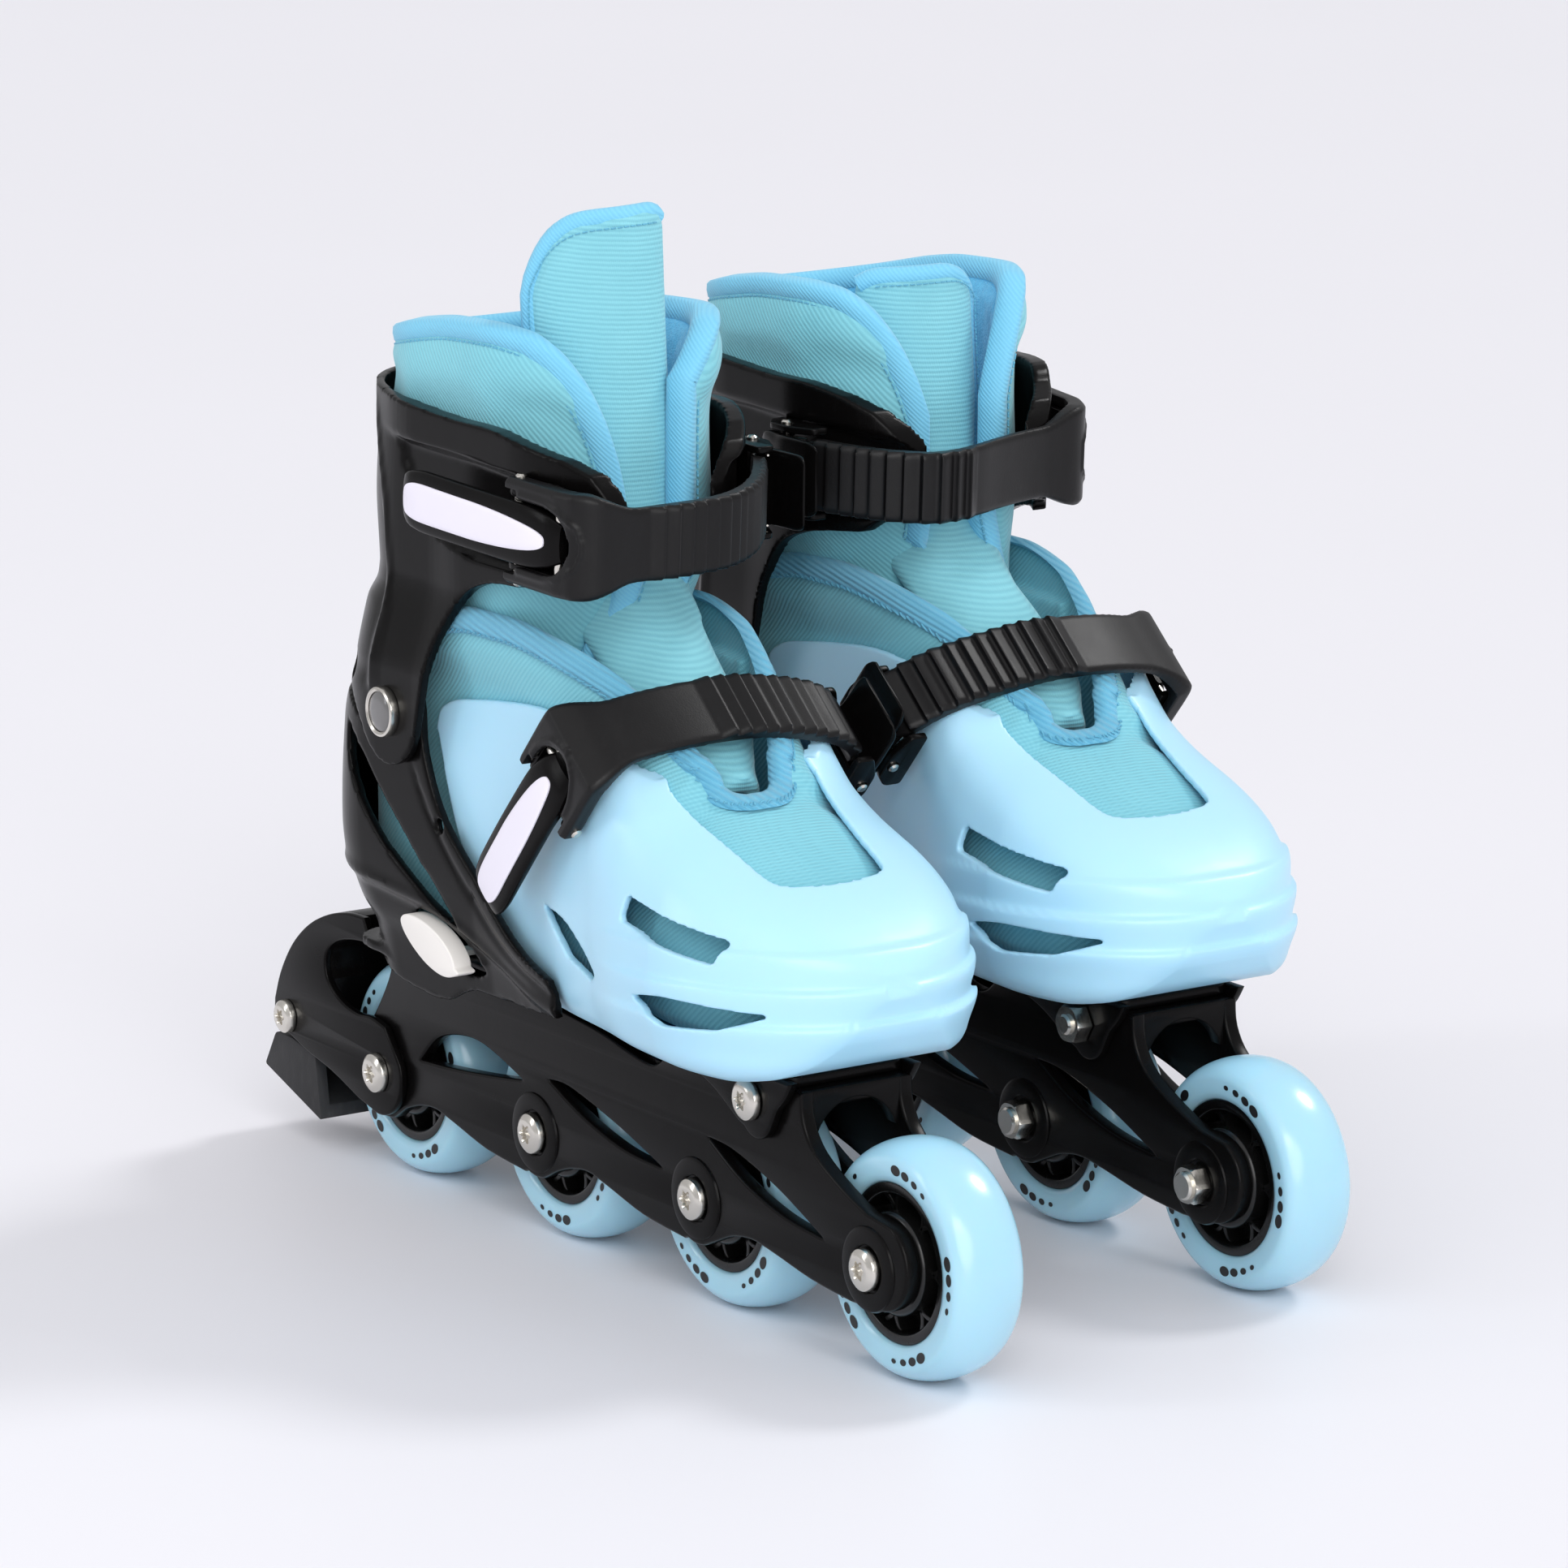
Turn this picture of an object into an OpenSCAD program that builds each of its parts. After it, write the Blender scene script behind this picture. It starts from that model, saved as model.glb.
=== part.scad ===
// Pair of size-adjustable children's inline skates. The right skate has the heel brake.
// Every piece is drawn in its own skate's frame: x runs forward from the rear axle, z up
// from the ground, y = 0 is the wheel plane and the outer side of the foot is -y.

/* [Wheels] */
// Outer diameter of a wheel
wheel_d = 64; // [62:0.5:65]
// Width of a wheel
wheel_w = 22; // [20:0.5:23]
// Distance between neighbouring axles
axle_pitch = 80; // [80:0.1:81]
// Diameter of the black hub
hub_d = 43; // [40:0.5:44]

/* [Frame] */
// Clear width between the two side plates
frame_gap = 27; // [26:0.5:28]
// Thickness of a side plate
plate_t = 4.5; // [4:0.1:5]

/* [Boot] */
// Wall of the heel shell and the cuff
shell_wall = 3; // [2.6:0.1:3]
// Wall of the toe shell
toe_wall = 2.3; // [2:0.1:2.5]
// Padding thickness of the liner
liner_wall = 6; // [4:0.5:7]
// How far the toe shell slides forward for larger sizes
size_travel = 20; // [15:1:20]

/* [Buckles] */
// Width of a strap
strap_w = 20; // [18:0.5:21]
// Thickness of a strap
strap_t = 2.6; // [2.2:0.1:2.8]
// Width of a buckle lever
lever_w = 17; // [16:0.5:17.5]

/* [Pair] */
// Distance between the two wheel planes
pair_gap = 120.5; // [115:0.5:150]
// How far the left skate stands behind the right one
pair_setback = 16; // [0:1:30]

/* [Hidden] */
$fn = 48;
WHEELS = [1 : 4];
SIDES = ["right", "left"];

// Clearance between pieces that move past each other
gap = 0.3;
// The leg leans towards the inner side above the ankle
upper_shift = 3;
wheel_r = wheel_d / 2;
axle_z = wheel_r;
axle_r = 4;
plate_in = frame_gap / 2;
plate_out = plate_in + plate_t;
head_r = 5.8;
head_h = 2.8;
nut_r = 6;
nut_h = 5;
// 608 bearing: bore 8, outside 22, width 7
race_r = 11;
race_w = 7;
race_ring = 2.2;
// Wheel bearings sit flush with the hub faces, just inside the plates
bearing_out = wheel_w / 2 + 1;
pivot = [43, 147.5];
pivot_r = 4;
deck_z = 72;
deck_t = 3;
toe_bolt = [190, 66.5];
brake_bolt = [-50.5, 38];
button_at = [59, 84.5];
// Rest box of the pair: its middle becomes the origin
pair_back = -67;
pair_front = 3 * axle_pitch + wheel_r;
pair_mid = (pair_back + pair_front) / 2;

plastic = "#1c1c1e";
pale_blue = "#a9dcf2";
fabric_blue = "#6fc3d6";
steel = "#c9cbce";
ivory = "#f1eeea";
rubber = "#232325";

// ---- helpers -------------------------------------------------------------------------

function arc(c, r, from, to, n) =
    [for (i = [0 : n]) let (a = from + (to - from) * i / n) c + r * [cos(a), sin(a)]];

// Smooth curve through points p, n steps a span
function spline_at(p, i, t) =
    let (m = len(p) - 1, a = p[max(i - 1, 0)], b = p[i], c = p[i + 1], d = p[min(i + 2, m)])
    0.5 * (2 * b + (c - a) * t + (2 * a - 5 * b + 4 * c - d) * t * t
        + (3 * b - a - 3 * c + d) * t * t * t);
function curve(p, n = 4) = concat(
    [for (i = [0 : len(p) - 2], k = [0 : n - 1]) spline_at(p, i, k / n)], [p[len(p) - 1]]);

function normal(p, i) =
    let (d = p[min(i + 1, len(p) - 1)] - p[max(i - 1, 0)]) [d[1], -d[0]] / norm(d);

// Side view outline [x, z] as a slab between two y planes
module side_slab(outline, y0, y1) {
    translate([0, max(y0, y1), 0]) rotate([90, 0, 0])
        linear_extrude(abs(y1 - y0)) polygon(outline);
}

module side_slabs(outline, y0, y1) {
    for (s = [-1, 1]) side_slab(outline, s * y0, s * y1);
}

// Round bar along y
module pin_y(at, r, y0, y1) {
    translate([at[0], max(y0, y1), at[1]]) rotate([90, 0, 0]) cylinder(r = r, h = abs(y1 - y0));
}

// Closed solid through rings of points, with a fan on both ends
module loft(rings) {
    n = len(rings[0]);
    m = len(rings);
    mid = function (r) [for (k = [0 : 2]) ([for (p = r) 1] * [for (p = r) p[k]]) / n];
    points = concat([for (r = rings) each r], [mid(rings[0]), mid(rings[m - 1])]);
    faces = concat(
        [for (i = [0 : m - 2], j = [0 : n - 1]) let (a = i * n + j, b = i * n + (j + 1) % n)
            each [[a, b, b + n], [a, b + n, a + n]]],
        [for (j = [0 : n - 1]) [(j + 1) % n, j, m * n]],
        [for (j = [0 : n - 1]) [(m - 1) * n + j, (m - 1) * n + (j + 1) % n, m * n + 1]]);
    polyhedron(points, faces);
}

// Wall between an outer and an inner grid of points, closed along its four edges
module wall(outer, inner) {
    rows = len(outer);
    cols = len(outer[0]);
    points = concat([for (r = outer) each r], [for (r = inner) each r]);
    id = function (i, j, k) k * rows * cols + i * cols + j;
    skin = function (k) [for (i = [0 : rows - 2], j = [0 : cols - 2])
        let (a = id(i, j, k), b = id(i, j + 1, k), c = id(i + 1, j + 1, k), d = id(i + 1, j, k))
        each k == 0 ? [[a, b, c], [a, c, d]] : [[a, c, b], [a, d, c]]];
    lip = function (i, flip) [for (j = [0 : cols - 2])
        let (a = id(i, j, 0), b = id(i, j + 1, 0), c = id(i, j + 1, 1), d = id(i, j, 1))
        each flip ? [[a, b, c], [a, c, d]] : [[a, c, b], [a, d, c]]];
    end = function (j, flip) [for (i = [0 : rows - 2])
        let (a = id(i, j, 0), b = id(i + 1, j, 0), c = id(i + 1, j, 1), d = id(i, j, 1))
        each flip ? [[a, b, c], [a, c, d]] : [[a, c, b], [a, d, c]]];
    polyhedron(points, concat(skin(0), skin(1), lip(0, false), lip(rows - 1, true),
        end(0, true), end(cols - 1, false)));
}

// Plan path round the back of the leg, from the outer front to the inner front: a half
// ellipse of a by b centred on [c, yc], straight sides, then an arm on each side that
// starts at x = arm[0] and turns inwards on a radius arm[1] through arm[2] degrees
function leg_path(c, yc, a, b, outer_arm, inner_arm) =
    let (arm = function (m) arc([m[0], b - m[1]], m[1], 90 - m[2], 90, 5),
        out = arm(outer_arm), in = arm(inner_arm))
    concat([for (p = out) [p[0], yc - p[1]]],
        [for (i = [0 : 14]) let (t = 180 * i / 14) [c - a * sin(t), yc - b * cos(t)]],
        [for (i = [5 : -1 : 0]) [in[i][0], yc + in[i][1]]]);

function inset(arm, t) = [arm[0], arm[1] - t, arm[2]];

// Places a piece of one skate in the pair
module on(side) {
    if (side == "right") translate([-pair_mid, -pair_gap / 2, 0]) children();
    else translate([-pair_mid - pair_setback, pair_gap / 2, 0]) mirror([0, 1, 0]) children();
}

// ---- wheels --------------------------------------------------------------------------

module at_axle(i) {
    translate([(i - 1) * axle_pitch, 0, axle_z]) rotate([90, 0, 0]) children();
}

// Urethane ring with an elliptical tread
module tyre(i) {
    seat = hub_d / 2;
    shoulder = 27;
    color(pale_blue) at_axle(i) rotate_extrude($fn = 96)
        polygon(concat([[seat, -wheel_w / 2 + 1.5], [seat + 1.5, -wheel_w / 2]],
            [for (t = [-90 : 15 : 90]) [shoulder + (wheel_r - shoulder) * cos(t),
                wheel_w / 2 * sin(t)]],
            [[seat + 1.5, wheel_w / 2], [seat, wheel_w / 2 - 1.5]]));
}

// Spoked hub with the outer rings of its two bearings
module hub(i) {
    rim = hub_d / 2 - gap / 3;
    boss = 14;
    color(plastic) at_axle(i) difference() {
        union() {
            rotate_extrude($fn = 96) polygon([[rim - 3, -9], [rim, -9], [rim, 9], [rim - 3, 9]]);
            cylinder(r = boss, h = wheel_w, center = true);
            for (k = [0 : 5]) rotate(60 * k)
                translate([boss - 1, -1.6, -7]) cube([rim - boss - 1, 3.2, 14]);
            cylinder(r = rim - 1, h = 3, center = true);
        }
        cylinder(r = race_r, h = wheel_w + 2, center = true);
    }
    color(steel) at_axle(i) for (s = [-1, 1])
        translate([0, 0, s * (wheel_w / 2 - race_w / 2)]) difference() {
            cylinder(r = race_r - 0.02, h = race_w, center = true);
            cylinder(r = race_r - race_ring, h = race_w + 2, center = true);
        }
}

// Inner rings of all bearings, with the spacer tube between each two
module bearing_races() {
    ring = axle_r + race_ring;
    color(steel) for (i = WHEELS) at_axle(i) difference() {
        union() {
            for (s = [-1, 1]) translate([0, 0, s * (bearing_out - race_w / 2 + 0.45)])
                cylinder(r = ring, h = race_w + 0.9, center = true);
            cylinder(r = ring - 1, h = wheel_w - race_w, center = true);
        }
        cylinder(r = axle_r, h = 3 * wheel_w, center = true);
    }
}

// ---- frame ---------------------------------------------------------------------------

function belly(i) = let (a = (i - 1) * axle_pitch) concat(
    [[a + 14, axle_z - 7.5], [a + 24, axle_z - 5.5], [a + 34, axle_z - 7], [a + 54, axle_z - 11]],
    arc([a + axle_pitch, axle_z], 12.8, 250, 290, 4));

function plate_outline() = concat(
    arc([0, axle_z], 13.5, 165, 290, 8),
    belly(1), belly(2),
    [[174, 24.5], [184, 26.5], [194, 25.5], [214, 22.5]],
    arc([244.5, 34], 12.3, 260, 425, 10),
    curve([[228, 50], [215, 56.5], [209.5, 63], [209, deck_z]], 3),
    [[148, deck_z]],
    curve([[145, 68], [139, 64], [128, 65.5], [113, 68], [92, 70], [74, deck_z]], 2),
    [[4, deck_z]],
    curve([[3, 62], [-3, 52], [-8.5, 45]], 3));

function eye(tail, top, nose, low) = concat(curve([tail, top[0], top[1], nose], 4),
    [for (p = [low[1], low[0]]) p]);

module plate_window(outline) {
    side_slab(outline, -plate_out - 1, plate_out + 1);
}

module frame() {
    color(plastic) difference() {
        union() {
            side_slabs(plate_outline(), plate_in, plate_out);
            // cross decks under the heel and the ball of the foot
            translate([5, -plate_out + 1, deck_z - 5]) cube([62, 2 * plate_out - 2, 5]);
            translate([150, -plate_out + 1, deck_z - 5]) cube([59, 2 * plate_out - 2, 5]);
            // front wall over the fourth wheel
            translate([205, -plate_out + 1, deck_z - 12]) cube([4, 2 * plate_out - 2, 12]);
            // bosses round the axle bolts
            for (i = WHEELS, s = [-1, 1])
                pin_y([(i - 1) * axle_pitch, axle_z], 8, s * (plate_in - 0.6), s * (plate_in + 1));
        }
        for (i = WHEELS) pin_y([(i - 1) * axle_pitch, axle_z], axle_r + 0.02, -30, 30);
        pin_y(toe_bolt, 3, -30, 30);
        plate_window(eye([19, 39.5], [[30, 47.5], [50, 51.5]], [73, 46], [[34, 40], [56, 43]]));
        plate_window(eye([87, 48], [[100, 48.5], [122, 43]], [143, 36.5], [[104, 42], [124, 37.5]]));
        plate_window(eye([167, 49], [[178, 49], [198, 43.5]], [218, 35.5], [[182, 42], [200, 37]]));
        // arch of the front wall
        translate([200, 0, deck_z - 16]) rotate([0, 90, 0]) cylinder(r = plate_in - 1, h = 20);
        for (x = [20, 50, 160]) translate([x, 0, deck_z - 6]) cylinder(r = 2, h = 8);
    }
}

// Axle bolts and nuts, bolt of the sole tabs, sole screws, ankle rivets and brake bolt
module bolt(at, y_head, y_nut, r, tip) {
    s = sign(y_head);
    pin_y(at, r, y_head, y_nut - s * (nut_h + tip));
    pin_y(at, head_r, y_head, y_head + s * head_h);
    difference() {
        translate([at[0], min(y_nut, y_nut - s * nut_h), at[1]]) rotate([-90, 0, 0])
            cylinder(r = nut_r, h = nut_h, $fn = 6);
        pin_y(at, r + 0.02, -60, 60);
    }
}

// Screw up to the deck, with its head at height z
module sole_screw(x, z) {
    translate([x, 0, deck_z - 5]) cylinder(r = 1.95, h = z - deck_z + 5);
    translate([x, 0, z]) cylinder(r = 4, h = 1.6);
}

module ankle_rivet(s) {
    pin_y(pivot, pivot_r - 0.1, s * 33.6, s * 42.6);
    pin_y(pivot, 8, s * 42.6, s * 45);
    pin_y(pivot, 7, s * 32.6, s * 34);
}

module fasteners(brake) {
    outside = brake ? plate_out + 2.7 : plate_out;
    color(steel) {
        bolt([0, axle_z], -outside, outside, axle_r - 0.02, 1.5);
        for (i = [2 : 4]) bolt([(i - 1) * axle_pitch, axle_z], -plate_out, plate_out,
            axle_r - 0.02, 1.5);
        bolt(toe_bolt, -plate_out - 3.4, plate_out + 3.4, 2.9, 1);
        for (x = [20, 50]) sole_screw(x, deck_z + deck_t);
        // sunk into the sole plate, clear of the sliding toe shell
        sole_screw(160, deck_z + 1);
        for (s = [-1, 1]) ankle_rivet(s);
        if (brake) bolt(brake_bolt, -outside, outside, 2.9, 1);
    }
}

// Long base that the toe shell slides on, with a tab over each side of the front tower
module sole_plate() {
    tab = concat([[148, deck_z + 3], [150, deck_z - 1]], arc([193, 63.5], 6.5, 245, 300, 4),
        arc([201, 70], 7, 300, 360, 3), [[208, deck_z + 3]]);
    color(plastic) difference() {
        union() {
            translate([98, -21, deck_z]) cube([104, 42, deck_t]);
            side_slabs(tab, plate_out + 0.1, plate_out + 3.2);
        }
        pin_y(toe_bolt, 3, -30, 30);
        translate([160, 0, deck_z - 1]) cylinder(r = 2, h = 8);
        translate([160, 0, deck_z + 1]) cylinder(r = 4.02, h = 8);
    }
}

// ---- heel shell ----------------------------------------------------------------------

// Plan path of the heel at height z, drawn inset by t
function heel_path(z, t) =
    let (c = lookup(z, [[64, 29], [72, 29], [81, 29], [88, 26], [96, 24], [110, 22.7],
            [140, 25.5], [150, 29], [162, 34]]),
        r = lookup(z, [[64, 31], [72, 32], [81, 33.5], [88, 36], [96, 37.5], [110, 38.3],
            [160, 38.6]]) - t,
        side = [[122, 4.4], [108, 3.2], [94, 1.6], [80, 0.2]])
    concat([for (p = side) [p[0], -r - p[1]]],
        [for (i = [0 : 14]) let (a = 180 * i / 14) [c - r * sin(a), -r * cos(a)]],
        [for (k = [3 : -1 : 0]) [side[k][0], r + side[k][1]]]);

module heel_shell() {
    levels = [64, 72, 81, 88, 96, 110, 125, 140, 150, 162];
    grid = function (t) [for (z = levels) [for (p = heel_path(z, t)) [p[0], p[1], z]]];
    front = curve([[54.8, 148], [56.5, 136], [66, 120], [88, 103], [104, 92.5], [120, 86.5]], 3);
    profile = concat(front, [[120, 75.2]],
        curve([[100, 73.5], [70, 72], [52, 65.5], [30, 66.5], [6, 72], [-20, 76]], 3),
        [[-20, 148]], curve([[-4, 148], [8, 147.4], [16, 145.4], [22, 142.6], [26, 140.2]], 3),
        [[29.6, 139.4], [31, 142.5]], arc(pivot, 12, 180, 10, 8));
    slot = curve([[14, 139], [17, 124], [36, 106], [70, 91], [50, 108], [32, 122], [22, 132],
        [14, 139]], 3);
    color(plastic) difference() {
        union() {
            intersection() {
                wall(grid(0), grid(shell_wall));
                side_slab(profile, -60, 60);
            }
            // floor on the frame's heel deck
            translate([0, -31, deck_z]) cube([96, 62, deck_t]);
        }
        side_slab(slot, -60, 60);
        for (s = [-1, 1]) pin_y(pivot, pivot_r, s * 30, s * 50);
        pin_y([63, 119], 2.2, -60, 60);
        button_leaf(0.5, -50, -30);
        for (x = [20, 50]) translate([x, 0, deck_z - 1]) cylinder(r = 2, h = 8);
    }
}

// Leaf outline of the size button: a blunt oval with a point towards the toe
module button_leaf(grow, y0, y1) {
    leaf = [for (a = [0 : 12 : 348]) let (point = a > 270 || a < 60 ? 1.35 : 1,
        r = 9.2 + grow, flat = 0.62 + 0.1 * cos(a))
        button_at + [r * 1.45 * cos(a) * (cos(a) > 0 ? 1.1 : 1), -r * 0.45 * cos(a) + r * flat * sin(a)]];
    side_slab(leaf, y0, y1);
}

module size_button() {
    color(ivory) union() {
        button_leaf(0, -40.6, -34.2);
        // stem over the rack, with the tooth that locks it
        translate([button_at[0] - 2.5, -35, 79.9]) cube([5, 13.5, 1.5]);
        translate([button_at[0] - 1, -23.2, 78]) cube([2, 1.7, 3]);
    }
}

// ---- liner ---------------------------------------------------------------------------

// Plan ring of the foot liner at height z
function foot_ring(z, t) =
    let (back = lookup(z, [[82, 0], [90, -6], [100, -9], [125, -9], [145, -5], [157, 2],
            [170, 6]]) + t,
        front = lookup(z, [[82, 204], [90, 211], [102, 213], [112, 207], [120, 194],
            [128, 174], [136, 156], [146, 140], [156, 128], [170, 104]]) - t,
        heel = lookup(z, [[82, 24], [90, 27.5], [100, 28.8], [140, 28.8], [150, 28.2],
            [160, 28.2], [170, 31.2]]) - t,
        ball = lookup(z, [[82, 29], [90, 33], [102, 34.5], [112, 33.8], [120, 32], [128, 30],
            [136, 29], [150, 28.2], [160, 28.2], [170, 31]]) - t,
        wide = min(158, front - ball * 1.05))
    concat([for (i = [0 : 8]) let (a = 90 - 180 * i / 8)
            [wide + (front - wide) * cos(a), -ball * sin(a)]],
        [for (k = [0.75, 0.5, 0.25]) [back + heel + (wide - back - heel) * k,
            heel + (ball - heel) * pow(k, 3)]],
        [for (i = [0 : 8]) let (a = 90 + 180 * i / 8)
            [back + heel + heel * cos(a), heel * sin(a)]],
        [for (k = [0.25, 0.5, 0.75]) [back + heel + (wide - back - heel) * k,
            -heel - (ball - heel) * pow(k, 3)]]);

module liner_foot() {
    levels = [82, 86, 92, 102, 112, 120, 128, 136, 146, 157, 170];
    ring = function (z, t, at) [for (p = foot_ring(z, t)) [p[0], p[1], at]];
    top = len(levels) - 1;
    color(fabric_blue) loft(concat([for (i = [2 : top]) ring(levels[i], liner_wall, levels[i])],
        [for (i = [top : -1 : 0]) ring(levels[i], 0, levels[i])]));
}

// The buckle of the left skate is pulled tighter, so its outer arm turns in sooner
function collar_path(z, t, side) =
    let (b = lookup(z, [[178, 35.2], [225, 35.4], [240, 35.8], [262, 37]]),
        a = lookup(z, [[178, 40], [225, 41], [246, 38], [262, 36]]),
        c = lookup(z, [[178, 41], [225, 42.5], [246, 47], [262, 48]]))
    leg_path(c, upper_shift, a - t, b - t, inset(side == "right" ? [78, 34, 76] : [75, 33, 74], t),
        inset([74, 34, 76], t));

module liner_collar(side) {
    levels = [176, 195, 215, 232, 246, 264];
    grid = function (t) [for (z = levels) [for (p = collar_path(z, t, side)) [p[0], p[1], z]]];
    profile = concat([[-10, 179], [84, 179], [119, 188]],
        curve([[120, 215], [118, 232], [108, 248], [90, 258], [64, 262], [40, 257], [-10, 251]], 3));
    color(fabric_blue) intersection() {
        wall(grid(0), grid(liner_wall));
        side_slab(profile, -60, 60);
    }
}

// Tall padded tongue, a curved slab leaning back at the top
module tongue(side) {
    bend = side == "right" ? 30 : 28;
    back = side == "right" ? 0 : 5;
    swing = 46;
    levels = side == "right" ? [183, 200, 222, 246, 268, 282, 288]
        : [183, 198, 214, 230, 245, 256, 261];
    spread = [0.8, 0.9, 0.95, 1, 1.1, 1, 0.7];
    front = function (z) lookup(z, [[183, 101], [200, 102], [220, 102], [245, 100], [288, 97]]);
    ring = function (z, s) let (c = [front(z) - back - bend, upper_shift])
        [for (p = concat(arc(c, bend, -s, s, 8), arc(c, bend - 7, s, -s, 8))) [p[0], p[1], z]];
    color(fabric_blue) loft([for (i = [6 : -1 : 0]) ring(levels[i], swing * spread[i])]);
}

// ---- cuff ----------------------------------------------------------------------------

function cuff_path(z, t, side) =
    let (c = lookup(z, [[128, 36.3], [152, 36.3], [165, 37.3], [174, 37.5], [181, 40.5],
            [202, 40.5], [223, 43], [246, 45]]),
        a = lookup(z, [[128, 42], [165, 43], [174, 43], [181, 42.5], [202, 45], [223, 46],
            [246, 46]]),
        b = lookup(z, [[128, 42.2], [160, 42], [185, 39], [246, 39.2]]),
        yc = upper_shift * lookup(z, [[160, 0], [185, 1]]))
    leg_path(c, yc, a - t, b - t, inset(side == "right" ? [100, 55, 44] : [78, 46, 56], t),
        inset([90, 55, 42], t));

module cuff(side) {
    levels = [128, 140, 152, 160, 168, 176, 185, 202, 223, 246];
    grid = function (t) [for (z = levels) [for (p = cuff_path(z, t, side)) [p[0], p[1], z]]];
    low_edge = curve([[-20, 153], [0, 153], [14, 151], [25, 144], [33, 136]], 3);
    lobe = arc(pivot, 15, 240, 350, 5);
    front_edge = curve([[62, 160], [66, 172], [75, 184], [88, 189.5], [104, 191]], 3);
    top_edge = [[70, 237], [30, 240], [-20, 241]];
    reach = side == "right" ? 0 : -19;
    outer = concat(low_edge, lobe, front_edge,
        curve([[124 + reach, 193], [134 + reach, 198], [137 + reach, 208], [136 + reach, 220],
            [129 + reach, 229]], 3),
        curve(concat([[118 + reach, 232], [95, 235]], top_edge), 3));
    inner = concat(low_edge, lobe, front_edge,
        curve([[113, 193], [122, 199], [126, 210], [125, 222], [119, 229]], 3),
        curve(concat([[108, 232], [90, 235]], top_edge), 3));
    color(plastic) difference() {
        intersection() {
            wall(grid(0), grid(shell_wall - 0.2));
            union() {
                side_slab(outer, -60, 0.01);
                side_slab(inner, 0, 60);
            }
        }
        for (s = [-1, 1]) pin_y(pivot, pivot_r, s * 30, s * 50);
        // slots in the flared lower back
        for (s = [-1, 1], hole = [[9, 163, 3, 7], [17, 155, 3, 6]])
            translate([hole[0], s * 38, hole[1]]) rotate([90, 0, 0]) scale([1, 1.8, 1])
                cylinder(r = hole[2], h = 30, center = true);
    }
}

// ---- buckles -------------------------------------------------------------------------
// A buckle's own frame: x along the strap towards the front, y across the strap, z away
// from the foot; its origin is on the strap's pin.

function ankle_pin(side) = side == "right" ? [110, -40.2, 208] : [88, -38.8, 209];
function ankle_turn(side) = side == "right" ? 4 : 7;
ankle_tilt = -3;
toe_pin = [129.8, -42.8, 141];
toe_tilt = 48.7;
pin_r = 1.6;
cheek_t = 2;
cheek_y = lever_w / 2 + 0.5;
fork_y = cheek_y + cheek_t + 0.4;
fork_t = 3;

module in_buckle(pin, tilt, turn = 0) {
    translate(pin) rotate([0, -tilt, turn]) rotate([90, 0, 0]) children();
}

// Outline [x, z] of a piece, drawn across the strap between y0 and y1
module across(outline, y0, y1) {
    translate([0, max(y0, y1), 0]) rotate([90, 0, 0])
        linear_extrude(abs(y1 - y0)) polygon(outline);
}

module pin_across(x, z, r, half) {
    translate([x, half, z]) rotate([90, 0, 0]) cylinder(r = r, h = 2 * half);
}

// Strap pin, lever pin and the bracket they sit in
module bracket(lever_x, depth) {
    color(plastic) difference() {
        union() {
            for (s = [-1, 1]) across([[-5, -depth], [lever_x + 4, -depth], [lever_x + 4, 1],
                [lever_x - 3, 3], [3, 3], [-4, 1]], s * cheek_y, s * (cheek_y + cheek_t));
            across([[-5, -depth], [lever_x + 4, -depth], [lever_x + 4, -depth + 0.9],
                [-5, -depth + 0.9]], -cheek_y - 0.5, cheek_y + 0.5);
        }
        pin_across(0, 0, pin_r, 20);
        pin_across(lever_x, 0, pin_r, 20);
    }
    color(steel) pin_across(0, 0, pin_r - 0.02, fork_y + fork_t + 0.8);
    color(steel) pin_across(lever_x, 0, pin_r - 0.02, cheek_y + cheek_t + 0.3);
}

// Lever plate with a hollow underside, hinged at its nose
module lever(lever_x, tail, lift) {
    outline = concat(curve([[lever_x + 2, 2.6], [lever_x - 8, 4.6], [-tail / 2, 5.2 + lift],
        [-tail + 3, 4.4 + lift], [-tail, 3 + lift]], 4),
        curve([[-tail, 1.6 + lift], [-tail / 2, 1.6 + lift], [4, 2.1], [lever_x - 5, 1.4]], 3),
        arc([lever_x, 0], 2.5, 210, 400, 6));
    color(plastic) difference() {
        across(outline, -lever_w / 2, lever_w / 2);
        pin_across(lever_x, 0, pin_r, 20);
    }
}

// Strap along path p in [x, z], with a fork round the lever and teeth on the free end
module strap(p) {
    path = curve(p, 4);
    last = len(path) - 1;
    toothed = ceil(last * 0.62);
    tooth = function (i) i > toothed ? (i % 2 == 0 ? 1.6 : 0) : 0.6;
    outline = concat(
        [for (i = [0 : last]) path[i] - normal(path, i) * (strap_t / 2 + tooth(i))],
        [for (i = [last : -1 : 0]) path[i] + normal(path, i) * strap_t / 2]);
    start = path[0];
    color(plastic) difference() {
        union() {
            across(outline, -strap_w / 2, strap_w / 2);
            for (s = [-1, 1]) across(concat(arc([0, 0], 2.6, 100, 260, 5),
                [[start[0] - 2, start[1] - 2.8], [start[0] + 5, start[1] - strap_t / 2],
                    [start[0] + 5, start[1] + strap_t / 2]]), s * fork_y, s * (fork_y + fork_t));
            across([[start[0] - 0.5, start[1] - strap_t / 2], [start[0] + 5, start[1] - strap_t / 2],
                [start[0] + 5, start[1] + strap_t / 2], [start[0] - 0.5, start[1] + strap_t / 2]],
                -fork_y - fork_t, fork_y + fork_t);
        }
        pin_across(0, 0, pin_r, 20);
    }
}

// Ratchet on the inner side: base, two cheeks and the pin of its release lever.
// Its own frame: x forward along the strap, z away from the foot, origin on the pin.
catch_w = strap_w / 2 + 1;

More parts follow.
